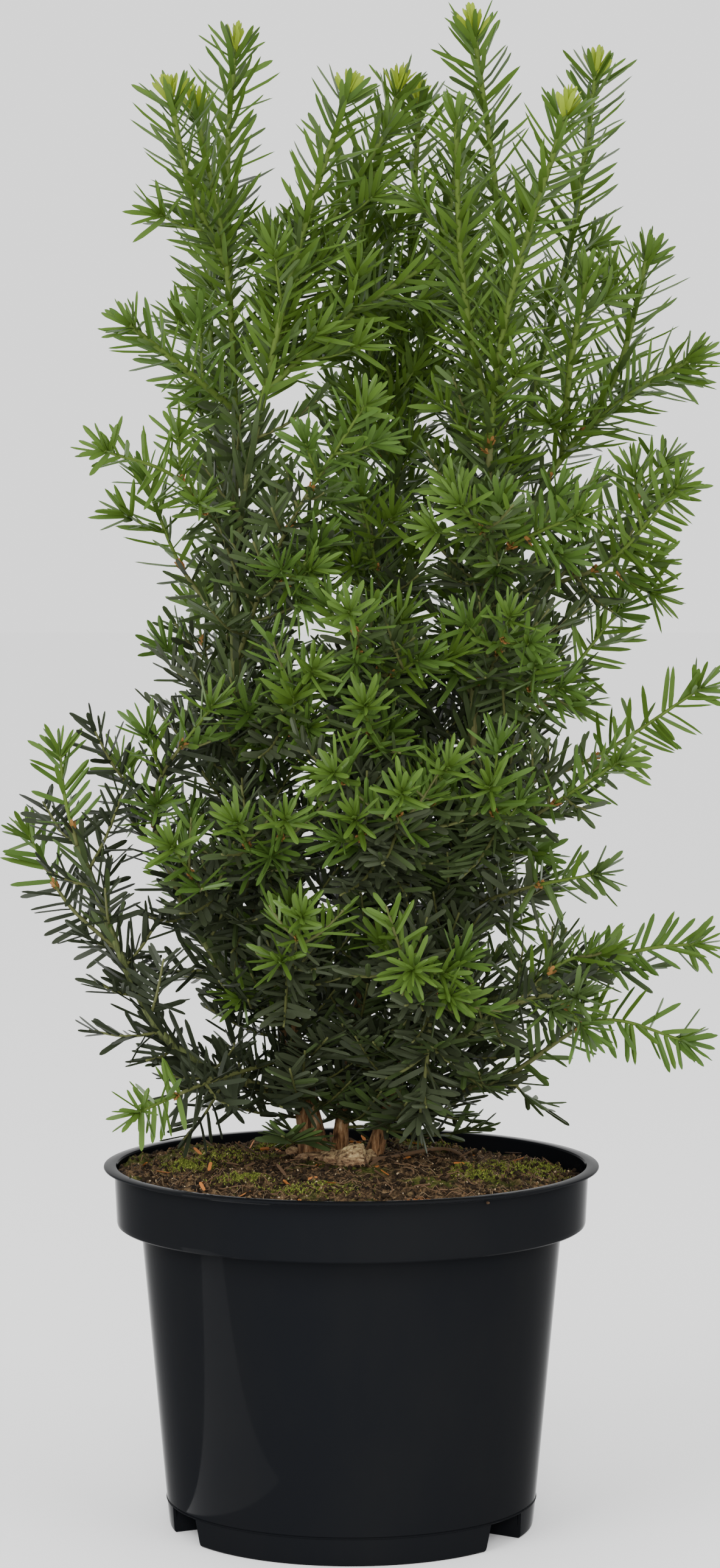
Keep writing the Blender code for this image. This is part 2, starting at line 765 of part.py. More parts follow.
def limb_radii(foot, tip, count, flare):
    """Radii from foot to tip, thinning faster near the foot, with a flare at the ground."""
    radii = []
    for index in range(count + 1):
        share = index / count
        taper = (foot - tip) * (1.0 - share) ** TAPER_POWER
        radii.append(tip + taper + flare * math.exp(-FLARE_FADE * share))
    return radii


def build_stems(space):
    """The stems, each from a flat cut at the ground, by name."""
    limbs = {}
    for name, stem in STEMS.items():
        path = even_points(stem.points, STEM_STEPS)
        radii = limb_radii(stem.foot, stem.tip, STEM_STEPS, FLARE_SHARE * stem.foot)
        made = swept(name, path, radii, STEM_ROUNDNESS)
        for vertex in made.data.vertices:
            if vertex.co.z < (GROUND + STEM_CUT) * MM:
                vertex.co.z = GROUND * MM
        shade_smooth(made)
        set_material(made, name + "_bark", *BARK)
        note_limb(limbs, space, name, made, path, radii)
    return limbs


def build_boughs(limbs, space):
    """The boughs, each standing clear of its stem and added to the limbs."""
    for name, bough in BOUGHS.items():
        start = standing_point(limbs[bough.parent], bough.height, bough.tip, bough.belly, bough.foot)
        path = bowed_path(start, bough.tip, bough.belly, BOUGH_STEPS)
        radii = limb_radii(bough.foot, TWIG_RADIUS, BOUGH_STEPS, 0.0)
        made = swept(name, path, radii, BOUGH_ROUNDNESS)
        shade_smooth(made)
        set_material(made, name + "_bark", *GREEN_BARK)
        note_limb(limbs, space, name, made, path, radii)


def core_radii(count):
    """Radii of a twig: bare at its foot, a slim core along it, and a fine tip."""
    radii = []
    for index in range(count + 1):
        share = index / count
        swell = math.sin(math.pi * max((share - BARE_FOOT) / (1.0 - BARE_FOOT), 0.0)) ** CORE_SWELL
        thinned = TWIG_RADIUS * (1.0 - TWIG_THINNING * share)
        radii.append(thinned + (CORE_RADIUS - TWIG_RADIUS) * swell)
    return radii


def twig_paths(limbs, mass):
    """The first twig of a mass and its side twigs, as paths."""
    lead = mass.twigs[0]
    start = standing_point(limbs[mass.parent], mass.height, lead.tip, lead.belly, TWIG_RADIUS)
    count = TWIG_LEAST_STEPS + round((Vector(lead.tip) - start).length / TWIG_STEP)
    paths = [bowed_path(start, lead.tip, lead.belly, count)]
    for twig in mass.twigs[1:]:
        root, _ = point_along(paths[0], twig.share)
        paths.append(bowed_path(root, twig.tip, twig.belly, SIDE_TWIG_STEPS))
    return paths


def add_needles(path, owner, space, mesh, collection, rng, bare):
    """Stand needles out of a twig by the golden angle, skipping any that would touch."""
    length = sum((second - first).length for first, second in zip(path, path[1:]))
    count = max(LEAST_NEEDLES, round(length * (1.0 - bare) / NEEDLE_PITCH))
    turn = rng.uniform(0.0, math.tau)
    for index in range(count + TIP_NEEDLES):
        at_tip = index >= count
        share = TIP_PLACE if at_tip else bare + (LAST_NEEDLE - bare) * index / count
        root, along = point_along(path, share)
        turn += math.pi if at_tip else GOLDEN_ANGLE
        out = Matrix.Rotation(turn, 3, along) @ along.orthogonal().normalized()
        lean = TIP_LEAN if at_tip else NEEDLE_LEAN - NEEDLE_CLOSING * share**3
        lean = math.radians(lean + rng.uniform(-LEAN_SPREAD, LEAN_SPREAD))
        aim = (along * math.cos(lean) + out * math.sin(lean)).normalized()
        broad = (along - aim * along.dot(aim)).normalized()
        reach = NEEDLE_LENGTH * rng.uniform(SHORTEST_NEEDLE, 1.0)
        reach *= TIP_REACH if at_tip else 1.0
        end = root + aim * reach
        first = root + aim * NEEDLE_START
        if min(root.z, end.z) < LOWEST_NEEDLE or not space.is_clear(owner, first, end, NEEDLE_ROOM):
            continue
        space.add(owner, first, end, NEEDLE_ROOM)
        made = link("needle", mesh, collection)
        turned_axes = Matrix((broad, aim.cross(broad), aim)).transposed().to_4x4()
        lengthen = Matrix.Diagonal((MM, MM, MM * reach, 1.0))
        made.matrix_world = Matrix.Translation(root * MM) @ turned_axes @ lengthen


def build_masses(limbs, space):
    """Every mass of foliage: the twigs of them all first, then needles round each."""
    section = triangle_section()
    mesh = needle_mesh()
    plans = {}
    for name, mass in MASSES.items():
        plans[name] = twig_paths(limbs, mass)
        for path in plans[name]:
            space.take(name, path, core_radii(len(path) - 1))
    for number, (name, paths) in enumerate(plans.items()):
        rng = random.Random(SEED + number)
        pieces = new_collection(name + "_pieces")
        target = swept(name, paths[0], core_radii(len(paths[0]) - 1), section)
        for path in paths[1:]:
            swept("side_twig", path, core_radii(len(path) - 1), section, pieces)
        for index, path in enumerate(paths):
            bare = SIDE_TWIG_BARE if index else FIRST_TWIG_BARE
            add_needles(path, name, space, mesh, pieces, rng, bare)
        apply_boolean(target, "UNION", pieces)
        keep_largest(target)
        set_material(target, name + "_green", *FOLIAGE)
    bpy.data.objects.remove(section, do_unlink=True)
    bpy.data.meshes.remove(mesh)


def main():
    """Build the whole plant and its pot."""
    clear_scene()
    new_collection(PLANT)
    space = Space()
    build_pot()
    build_soil()
    build_root_crown()
    limbs = build_stems(space)
    build_boughs(limbs, space)
    build_masses(limbs, space)


main()
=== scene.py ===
"""Looks of a hybrid yew shrub in its black nursery pot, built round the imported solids."""

import json
import logging
import math
import random
from dataclasses import dataclass, field
from enum import Enum
from typing import Dict, List, Optional, Sequence, Tuple

import bmesh
import bpy
import numpy as np
from mathutils import Matrix, Quaternion, Vector, noise

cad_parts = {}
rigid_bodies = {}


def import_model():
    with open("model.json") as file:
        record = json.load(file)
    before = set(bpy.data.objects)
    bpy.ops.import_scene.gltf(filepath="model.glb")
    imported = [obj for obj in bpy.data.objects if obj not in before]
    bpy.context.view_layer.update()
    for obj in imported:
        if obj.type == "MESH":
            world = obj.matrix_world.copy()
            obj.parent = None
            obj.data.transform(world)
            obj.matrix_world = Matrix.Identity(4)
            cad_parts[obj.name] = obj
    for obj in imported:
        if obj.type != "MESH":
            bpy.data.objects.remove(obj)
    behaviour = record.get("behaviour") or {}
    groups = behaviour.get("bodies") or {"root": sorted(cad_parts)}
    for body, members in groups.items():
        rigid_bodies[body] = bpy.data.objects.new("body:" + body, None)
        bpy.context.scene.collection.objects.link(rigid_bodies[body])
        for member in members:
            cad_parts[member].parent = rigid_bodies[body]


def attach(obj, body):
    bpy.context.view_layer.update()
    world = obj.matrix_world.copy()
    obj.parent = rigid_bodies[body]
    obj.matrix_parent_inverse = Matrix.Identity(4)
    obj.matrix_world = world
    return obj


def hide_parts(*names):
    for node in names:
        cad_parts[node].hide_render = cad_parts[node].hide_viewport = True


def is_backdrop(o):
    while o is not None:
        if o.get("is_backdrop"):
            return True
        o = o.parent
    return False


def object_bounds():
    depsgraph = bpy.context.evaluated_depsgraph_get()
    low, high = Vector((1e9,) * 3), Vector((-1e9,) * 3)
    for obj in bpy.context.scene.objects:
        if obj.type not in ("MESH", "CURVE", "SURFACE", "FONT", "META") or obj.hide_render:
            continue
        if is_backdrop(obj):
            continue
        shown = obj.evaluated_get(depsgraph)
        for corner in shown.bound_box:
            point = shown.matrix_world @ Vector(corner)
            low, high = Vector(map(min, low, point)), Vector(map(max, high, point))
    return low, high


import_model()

LOG = logging.getLogger("yew")
BODY = "root"
MM = 0.001

Point = Tuple[float, float, float]
Colour = Tuple[float, float, float]
Socket = bpy.types.NodeSocket

GROUND = 198.8
SOIL_TOP = 199.5
GOLDEN_ANGLE = math.radians(137.5)
SAG = 0.07
TIP = None
WHOLE = 400.0


class Tone(Enum):
    """The tones of needles and scales, from oldest to youngest, then dry ones; SHADE among them is no age but a darker
    copy of the old needles, painted shade for low down and inside the crown.
    """

    AGED = "needles_aged"
    SHADE = "needles_shade"
    OLD = "needles_old"
    MATURE = "needles_mature"
    MID = "needles_mid"
    FRESH = "needles_fresh"
    BRIGHT = "needles_bright"
    LIME = "needles_lime"
    SCALE = "bud_scales"
    DEAD = "dead_needles"


class Rind(Enum):
    """The ages of young stem."""

    GREEN = "green_stems"
    OLIVE = "olive_stems"
    BROWN = "brown_stems"


class Shine(Enum):
    """What a light shows up in."""

    ALL = "everything"
    GLEAM = "only gleams on glossy surfaces"
    SOFT = "everything but gleams"


class Spread(Enum):
    """How needles stand on a shoot."""

    ROUND = "all round it"
    LEVEL = "parted to two sides, faces up"
    FRONT = "parted to two sides, faces to the front"


class Tip(Enum):
    """The shapes of needle tips, as the share of the length and the half width at two stations."""

    SHARP = ((0.72, 0.46), (0.91, 0.25))
    SHORT = ((0.82, 0.48), (0.945, 0.27))
    ROUND = ((0.84, 0.48), (0.955, 0.29))


# The painted-shade tone first, then the needles' ages from old to young.
SHADE_AND_AGES = (Tone.SHADE, Tone.OLD, Tone.MATURE, Tone.MID, Tone.FRESH, Tone.BRIGHT)
FACES = {Spread.LEVEL: Vector((0.0, 0.0, 1.0)), Spread.FRONT: Vector((0.0, -1.0, 0.0))}


class Shader:
    """A material's node tree, with the few kinds of node that the finishes share."""

    def __init__(self, name: str) -> None:
        """Start a material.

        Args:
            name: Name of the material.
        """
        self.material = bpy.data.materials.new(name)
        self.material.use_nodes = True
        self.tree = self.material.node_tree
        self.surface = self.tree.nodes["Principled BSDF"]
        self.coords = self.tree.nodes.new("ShaderNodeTexCoord").outputs["Object"]

    def set(self, name: str, value: float) -> None:
        """Set one number of the surface."""
        self.surface.inputs[name].default_value = value

    def link(self, output: Socket, name: str) -> None:
        """Lead an output to one input of the surface."""
        self.tree.links.new(output, self.surface.inputs[name])

    def noise(self, scale: Point, detail: float, roughness: float) -> Socket:
        """Add a noise pattern in object space.

        Args:
            scale: Waves per metre along each axis.
            detail: Number of octaves.
            roughness: Weight of the finer octaves.

        Returns:
            The pattern's value.
        """
        mapping = self.tree.nodes.new("ShaderNodeMapping")
        mapping.inputs["Scale"].default_value = scale
        texture = self.tree.nodes.new("ShaderNodeTexNoise")
        texture.inputs["Scale"].default_value = 1.0
        texture.inputs["Detail"].default_value = detail
        texture.inputs["Roughness"].default_value = roughness
        self.tree.links.new(self.coords, mapping.inputs["Vector"])
        self.tree.links.new(mapping.outputs["Vector"], texture.inputs["Vector"])
        return texture.outputs["Fac"]

    def height(self, low: float, high: float) -> Socket:
        """Tell how far up between two heights a place is.

        Args:
            low: Height in metres where the value is 0.
            high: Height in metres where the value is 1.

        Returns:
            The value.
        """
        parts = self.tree.nodes.new("ShaderNodeSeparateXYZ")
        self.tree.links.new(self.coords, parts.inputs["Vector"])
        return self.range(parts.outputs["Z"], low, high, 0.0, 1.0)

    def range(self, value: Socket, low: float, high: float, start: float, end: float) -> Socket:
        """Map a value from one range to another.

        Args:
            value: The value.
            low: Start of its range.
            high: End of its range.
            start: What the start becomes.
            end: What the end becomes.

        Returns:
            The mapped value.
        """
        mapped = self.tree.nodes.new("ShaderNodeMapRange")
        for name, number in (("From Min", low), ("From Max", high), ("To Min", start), ("To Max", end)):
            mapped.inputs[name].default_value = number
        self.tree.links.new(value, mapped.inputs["Value"])
        return mapped.outputs["Result"]

    def ramp(self, value: Socket, stops: Sequence[Tuple[float, Colour]]) -> Socket:
        """Turn a value into a colour.

        Args:
            value: The value.
            stops: Places along the ramp and their colours.

        Returns:
            The colour.
        """
        ramp = self.tree.nodes.new("ShaderNodeValToRGB")
        elements = ramp.color_ramp.elements
        while len(elements) < len(stops):
            elements.new(0.5)
        for element, (place, colour) in zip(elements, stops):
            element.position = place
            element.color = (*colour, 1.0)
        self.tree.links.new(value, ramp.inputs["Fac"])
        return ramp.outputs["Color"]

    def mix(self, factor: Socket, first: Socket, second: Socket) -> Socket:
        """Mix two colours.

        Args:
            factor: Share of the second.
            first: First colour.
            second: Second colour.

        Returns:
            The mixed colour.
        """
        mixed = self.tree.nodes.new("ShaderNodeMix")
        mixed.data_type = "RGBA"
        self.tree.links.new(factor, mixed.inputs["Factor"])
        self.tree.links.new(first, mixed.inputs["A"])
        self.tree.links.new(second, mixed.inputs["B"])
        return mixed.outputs["Result"]

    def bump(self, height: Socket, strength: float, distance: float) -> None:
        """Raise the surface by a pattern.

        Args:
            height: The pattern.
            strength: Strength of the relief.
            distance: Height of the relief in metres.
        """
        bump = self.tree.nodes.new("ShaderNodeBump")
        bump.inputs["Strength"].default_value = strength
        bump.inputs["Distance"].default_value = distance
        self.tree.links.new(height, bump.inputs["Height"])
        self.link(bump.outputs["Normal"], "Normal")


@dataclass(frozen=True)
class PlainFinish:
    """A finish of one colour.

    Args:
        colour: Linear base colour.
        roughness: Roughness of the surface.
        gloss: Specular level of the surface.
    """

    colour: Colour
    roughness: float
    gloss: float = 0.2

    def make(self, name: str) -> bpy.types.Material:
        """Make the material under a name."""
        shader = Shader(name)
        shader.surface.inputs["Base Color"].default_value = (*self.colour, 1.0)
        shader.set("Roughness", self.roughness)
        shader.set("Specular IOR Level", self.gloss)
        return shader.material


@dataclass(frozen=True)
class PotPlastic:
    """Blue-black moulded plastic with faint scuffs and a little dust."""

    deep: Colour = (0.0060, 0.0065, 0.0077)
    dusty: Colour = (0.0076, 0.0079, 0.0085)
    gloss: float = 0.004
    smooth: float = 0.05
    scuffed: float = 0.11

    def make(self) -> bpy.types.Material:
        """Make the material."""
        shader = Shader("pot_plastic")
        dust = shader.noise((9.0, 9.0, 5.0), 4.0, 0.6)
        scuffs = shader.noise((20.0, 20.0, 130.0), 5.0, 0.65)
        shader.link(shader.ramp(dust, ((0.42, self.deep), (0.72, self.dusty))), "Base Color")
        shader.link(shader.range(scuffs, 0.35, 0.70, self.smooth, self.scuffed), "Roughness")
        shader.set("Specular IOR Level", self.gloss)
        shader.bump(shader.noise((14.0, 14.0, 4.0), 2.0, 0.5), 0.10, 0.002)
        return shader.material


@dataclass(frozen=True)
class BarkFinish:
    """Stringy brown bark near the ground that turns to smooth olive higher up."""

    crack: Colour = (0.030, 0.015, 0.007)
    brown: Colour = (0.130, 0.062, 0.026)
    tan: Colour = (0.240, 0.142, 0.070)
    pale: Colour = (0.380, 0.280, 0.170)
    olive_dark: Colour = (0.030, 0.038, 0.014)
    olive: Colour = (0.105, 0.128, 0.042)
    brown_below: float = 0.215
    olive_above: float = 0.48

    def make(self, name: str) -> bpy.types.Material:
        """Make the material under a name."""
        shader = Shader(name)
        strings = shader.noise((430.0, 430.0, 75.0), 7.0, 0.68)
        stops = ((0.39, self.crack), (0.48, self.brown), (0.59, self.tan), (0.70, self.pale))
        old = shader.ramp(strings, stops)
        young = shader.ramp(strings, ((0.35, self.olive_dark), (0.62, self.olive)))
        shader.link(shader.mix(shader.height(self.brown_below, self.olive_above), old, young), "Base Color")
        shader.set("Roughness", 0.85)
        shader.set("Specular IOR Level", 0.2)
        shader.bump(strings, 0.9, 0.0013)
        return shader.material


@dataclass(frozen=True)
class CallusFinish:
    """Rough wood of the healed lump in front of the stems, brown low down and pale on top."""

    crack: Colour = (0.060, 0.034, 0.019)
    brown: Colour = (0.160, 0.092, 0.052)
    tan: Colour = (0.310, 0.215, 0.110)
    pale: Colour = (0.530, 0.430, 0.215)
    brown_below: float = 0.200
    pale_above: float = 0.208

    def make(self) -> bpy.types.Material:
        """Make the material."""
        shader = Shader("callus_wood")
        lumps = shader.noise((240.0, 340.0, 520.0), 6.0, 0.68)
        low = shader.ramp(lumps, ((0.40, self.crack), (0.50, self.brown), (0.64, self.tan)))
        high = shader.ramp(lumps, ((0.38, self.crack), (0.48, self.tan), (0.62, self.pale)))
        shader.link(shader.mix(shader.height(self.brown_below, self.pale_above), low, high), "Base Color")
        shader.set("Roughness", 0.9)
        shader.set("Specular IOR Level", 0.15)
        shader.bump(lumps, 0.8, 0.0014)
        return shader.material


@dataclass(frozen=True)
class PeatFinish:
    """Dark brown peat with lighter fibres, green where moss has taken."""

    black: Colour = (0.006, 0.004, 0.003)
    brown: Colour = (0.053, 0.032, 0.016)
    tan: Colour = (0.180, 0.114, 0.056)
    pale: Colour = (0.345, 0.250, 0.135)
    moss_dark: Colour = (0.036, 0.044, 0.008)
    moss: Colour = (0.125, 0.142, 0.027)

    def make(self) -> bpy.types.Material:
        """Make the material."""
        shader = Shader("peat")
        grain = shader.noise((230.0, 230.0, 230.0), 9.0, 0.76)
        patches = shader.noise((24.0, 24.0, 24.0), 3.0, 0.55)
        stops = ((0.42, self.black), (0.50, self.brown), (0.59, self.tan), (0.69, self.pale))
        earth = shader.ramp(grain, stops)
        moss = shader.ramp(grain, ((0.40, self.moss_dark), (0.65, self.moss)))
        shader.link(shader.mix(shader.range(patches, 0.54, 0.60, 0.0, 0.85), earth, moss), "Base Color")
        shader.set("Roughness", 0.95)
        shader.set("Specular IOR Level", 0.15)
        shader.bump(grain, 1.0, 0.0030)
        return shader.material


@dataclass(frozen=True)
class Leaf:
    """How the needles of one tone are shaped and coloured.

    Args:
        finish: Their finish.
        length: Usual length in millimetres.
        width: Usual width in millimetres.
        tip: Shape of the tip, round on old needles.
    """

    finish: PlainFinish
    length: float
    width: float
    tip: Tip = Tip.SHORT


LEAVES: Dict[Tone, Leaf] = {
    Tone.AGED: Leaf(PlainFinish((0.0195, 0.0255, 0.0130), 0.42, 0.10), 23.0, 3.0, Tip.ROUND),
    # SHADE: the old needles' colour darkened, painted shade for needles low down and inside the crown.
    Tone.SHADE: Leaf(PlainFinish((0.0335, 0.0425, 0.0215), 0.42, 0.11), 21.5, 3.3, Tip.ROUND),
    Tone.OLD: Leaf(PlainFinish((0.0370, 0.0560, 0.0190), 0.42, 0.10), 22.5, 3.0, Tip.ROUND),
    Tone.MATURE: Leaf(PlainFinish((0.0440, 0.0740, 0.0190), 0.40, 0.14), 21.5, 3.1, Tip.ROUND),
    Tone.MID: Leaf(PlainFinish((0.0520, 0.0970, 0.0135), 0.40, 0.12), 25.5, 3.0, Tip.SHARP),
    Tone.FRESH: Leaf(PlainFinish((0.0460, 0.0900, 0.0148), 0.40, 0.14), 23.5, 3.0),
    Tone.BRIGHT: Leaf(PlainFinish((0.0560, 0.1040, 0.0155), 0.40, 0.14), 22.0, 3.0),
    Tone.LIME: Leaf(PlainFinish((0.1900, 0.2600, 0.0200), 0.50, 0.13), 16.0, 3.0),
    Tone.SCALE: Leaf(PlainFinish((0.2300, 0.1150, 0.0340), 0.65, 0.15), 3.8, 1.9, Tip.ROUND),
    Tone.DEAD: Leaf(PlainFinish((0.2400, 0.0900, 0.0250), 0.75, 0.15), 7.5, 1.9, Tip.ROUND),
}

RINDS: Dict[Rind, PlainFinish] = {
    Rind.GREEN: PlainFinish((0.068, 0.106, 0.018), 0.50, 0.12),
    Rind.OLIVE: PlainFinish((0.070, 0.078, 0.024), 0.65),
    Rind.BROWN: PlainFinish((0.075, 0.042, 0.024), 0.80),
}


@dataclass(frozen=True)
class Stem:
    """A stem from the ground.

    Args:
        points: Points on its axis.
        foot: Radius at the foot.
        tip: Radius at the tip.
        bare: Heights between which its bark shows in front.
    """

    points: Tuple[Point, ...]
    foot: float
    tip: float
    bare: Tuple[Tuple[float, float], ...] = ()


@dataclass(frozen=True)
class Bough:
    """A bough: what carries it and how high, its tip, its bowed middle and its foot."""

    parent: str
    height: float
    tip: Point
    belly: Point
    foot: float


@dataclass(frozen=True)
class Twig:
    """A twig of a mass.

    Args:
        tip: Where it ends.
        belly: How far its middle strays from the chord, None where it sags.
        share: How far up the mass's first twig it forks off.
        old: Tone of its older needles.
        new: Tone of this year's needles.
        growth: Length of this year's growth in millimetres.
        tuft: Tone of the needles round the bud.
        bare: Share at the foot that has no needles.
        spread: How the needles stand on it.
    """

    tip: Point
    belly: Optional[Point] = None
    share: float = 0.0
    old: Tone = Tone.OLD
    new: Tone = Tone.FRESH
    growth: float = 40.0
    tuft: Tone = Tone.BRIGHT
    bare: float = 0.04
    spread: Spread = Spread.ROUND


@dataclass(frozen=True)
class Mass:
    """A mass of foliage.

    Args:
        parent: The limb that carries it.
        height: Height where it leaves that limb, TIP where it goes on from its end.
        twigs: Its twigs, the first from the limb and the others from the first.
        side: Number of side shoots against the usual.
        young: Share of its side shoots that grew this year.
    """

    parent: str
    height: Optional[float]
    twigs: Tuple[Twig, ...]
    side: float = 1.0
    young: float = 0.3


@dataclass
class Shoot:
    """One needled shoot as it is drawn.

    Args:
        path: Points of its axis in millimetres.
        foot: Radius at the foot.
        tip: Radius at the tip.
        old: Tone of its older needles.
        new: Tone of this year's needles.
        growth: Length of this year's growth.
        tuft: Tone of the needles round the bud, None where there is no bud.
        bare: Share at the foot that has no needles.
        pitch: Distance between needles.
        spread: How the needles stand on it.
        lean: Angle of the needles from the axis in degrees.
        scale: Length of the needles against the usual.
    """

    path: List[Vector]
    foot: float
    tip: float
    old: Tone
    new: Tone
    growth: float
    tuft: Optional[Tone]
    bare: float = 0.04
    pitch: float = 2.2
    spread: Spread = Spread.ROUND
    lean: float = 62.0
    scale: float = 1.0


STEMS: Dict[str, Stem] = {
    "stem_left": Stem(
        ((-20, 16, GROUND), (-27, 14, 238), (-49, 8, 333), (-60, 0, 407), (-63, -8, 510), (-62, -12, 597)),
        7.0,
        2.1,
        ((440, 560),),
    ),
    "stem_middle": Stem(
        ((-7, 25, GROUND), (-1, 27, 247), (14, 28, 338), (21, 30, 415), (21, 38, 533)), 3.9, 2.0
    ),
    "stem_right": Stem(
        ((12, 13, GROUND), (29, 6, 257), (49, 0, 311), (63, -4, 390), (68, -6, 490), (78, 0, 593)),
        3.9,
        2.1,
        ((304, 346), (404, 458)),
    ),
}

BOUGHS: Dict[str, Bough] = {
    "bough_upper_left": Bough("stem_left", 512, (-49, -40, 599), (-2, -6, 0), 2.1),
    "bough_low_left": Bough("stem_left", 228, (-145, -50, 374), (-14, -24, -30), 2.9),
    "bough_inner_left": Bough("stem_left", 268, (-90, -30, 338), (0, -8, -8), 2.4),
    "bough_upper_right": Bough("stem_right", 462, (105, 14, 568), (-5, -2, -2), 2.2),
    "bough_back_right": Bough("stem_right", 492, (98, 42, 610), (0, 6, 0), 2.1),
    "bough_middle_right": Bough("stem_right", 444, (102, 12, 505), (0, 4, 0), 2.0),
    "bough_low_right": Bough("stem_right", 280, (134, -30, 311), (0, -6, -4), 2.4),
    "bough_front_right": Bough("stem_right", 252, (80, -78, 291), (0, 0, -4), 2.2),
    "bough_drooping_right": Bough("stem_right", 226, (87, -20, 249), (0, -2, -3), 2.2),
}

AGED, SHADE, OLD, MATURE, MID = Tone.AGED, Tone.SHADE, Tone.OLD, Tone.MATURE, Tone.MID
FRESH, BRIGHT, LIME = Tone.FRESH, Tone.BRIGHT, Tone.LIME
FRONT = Spread.FRONT

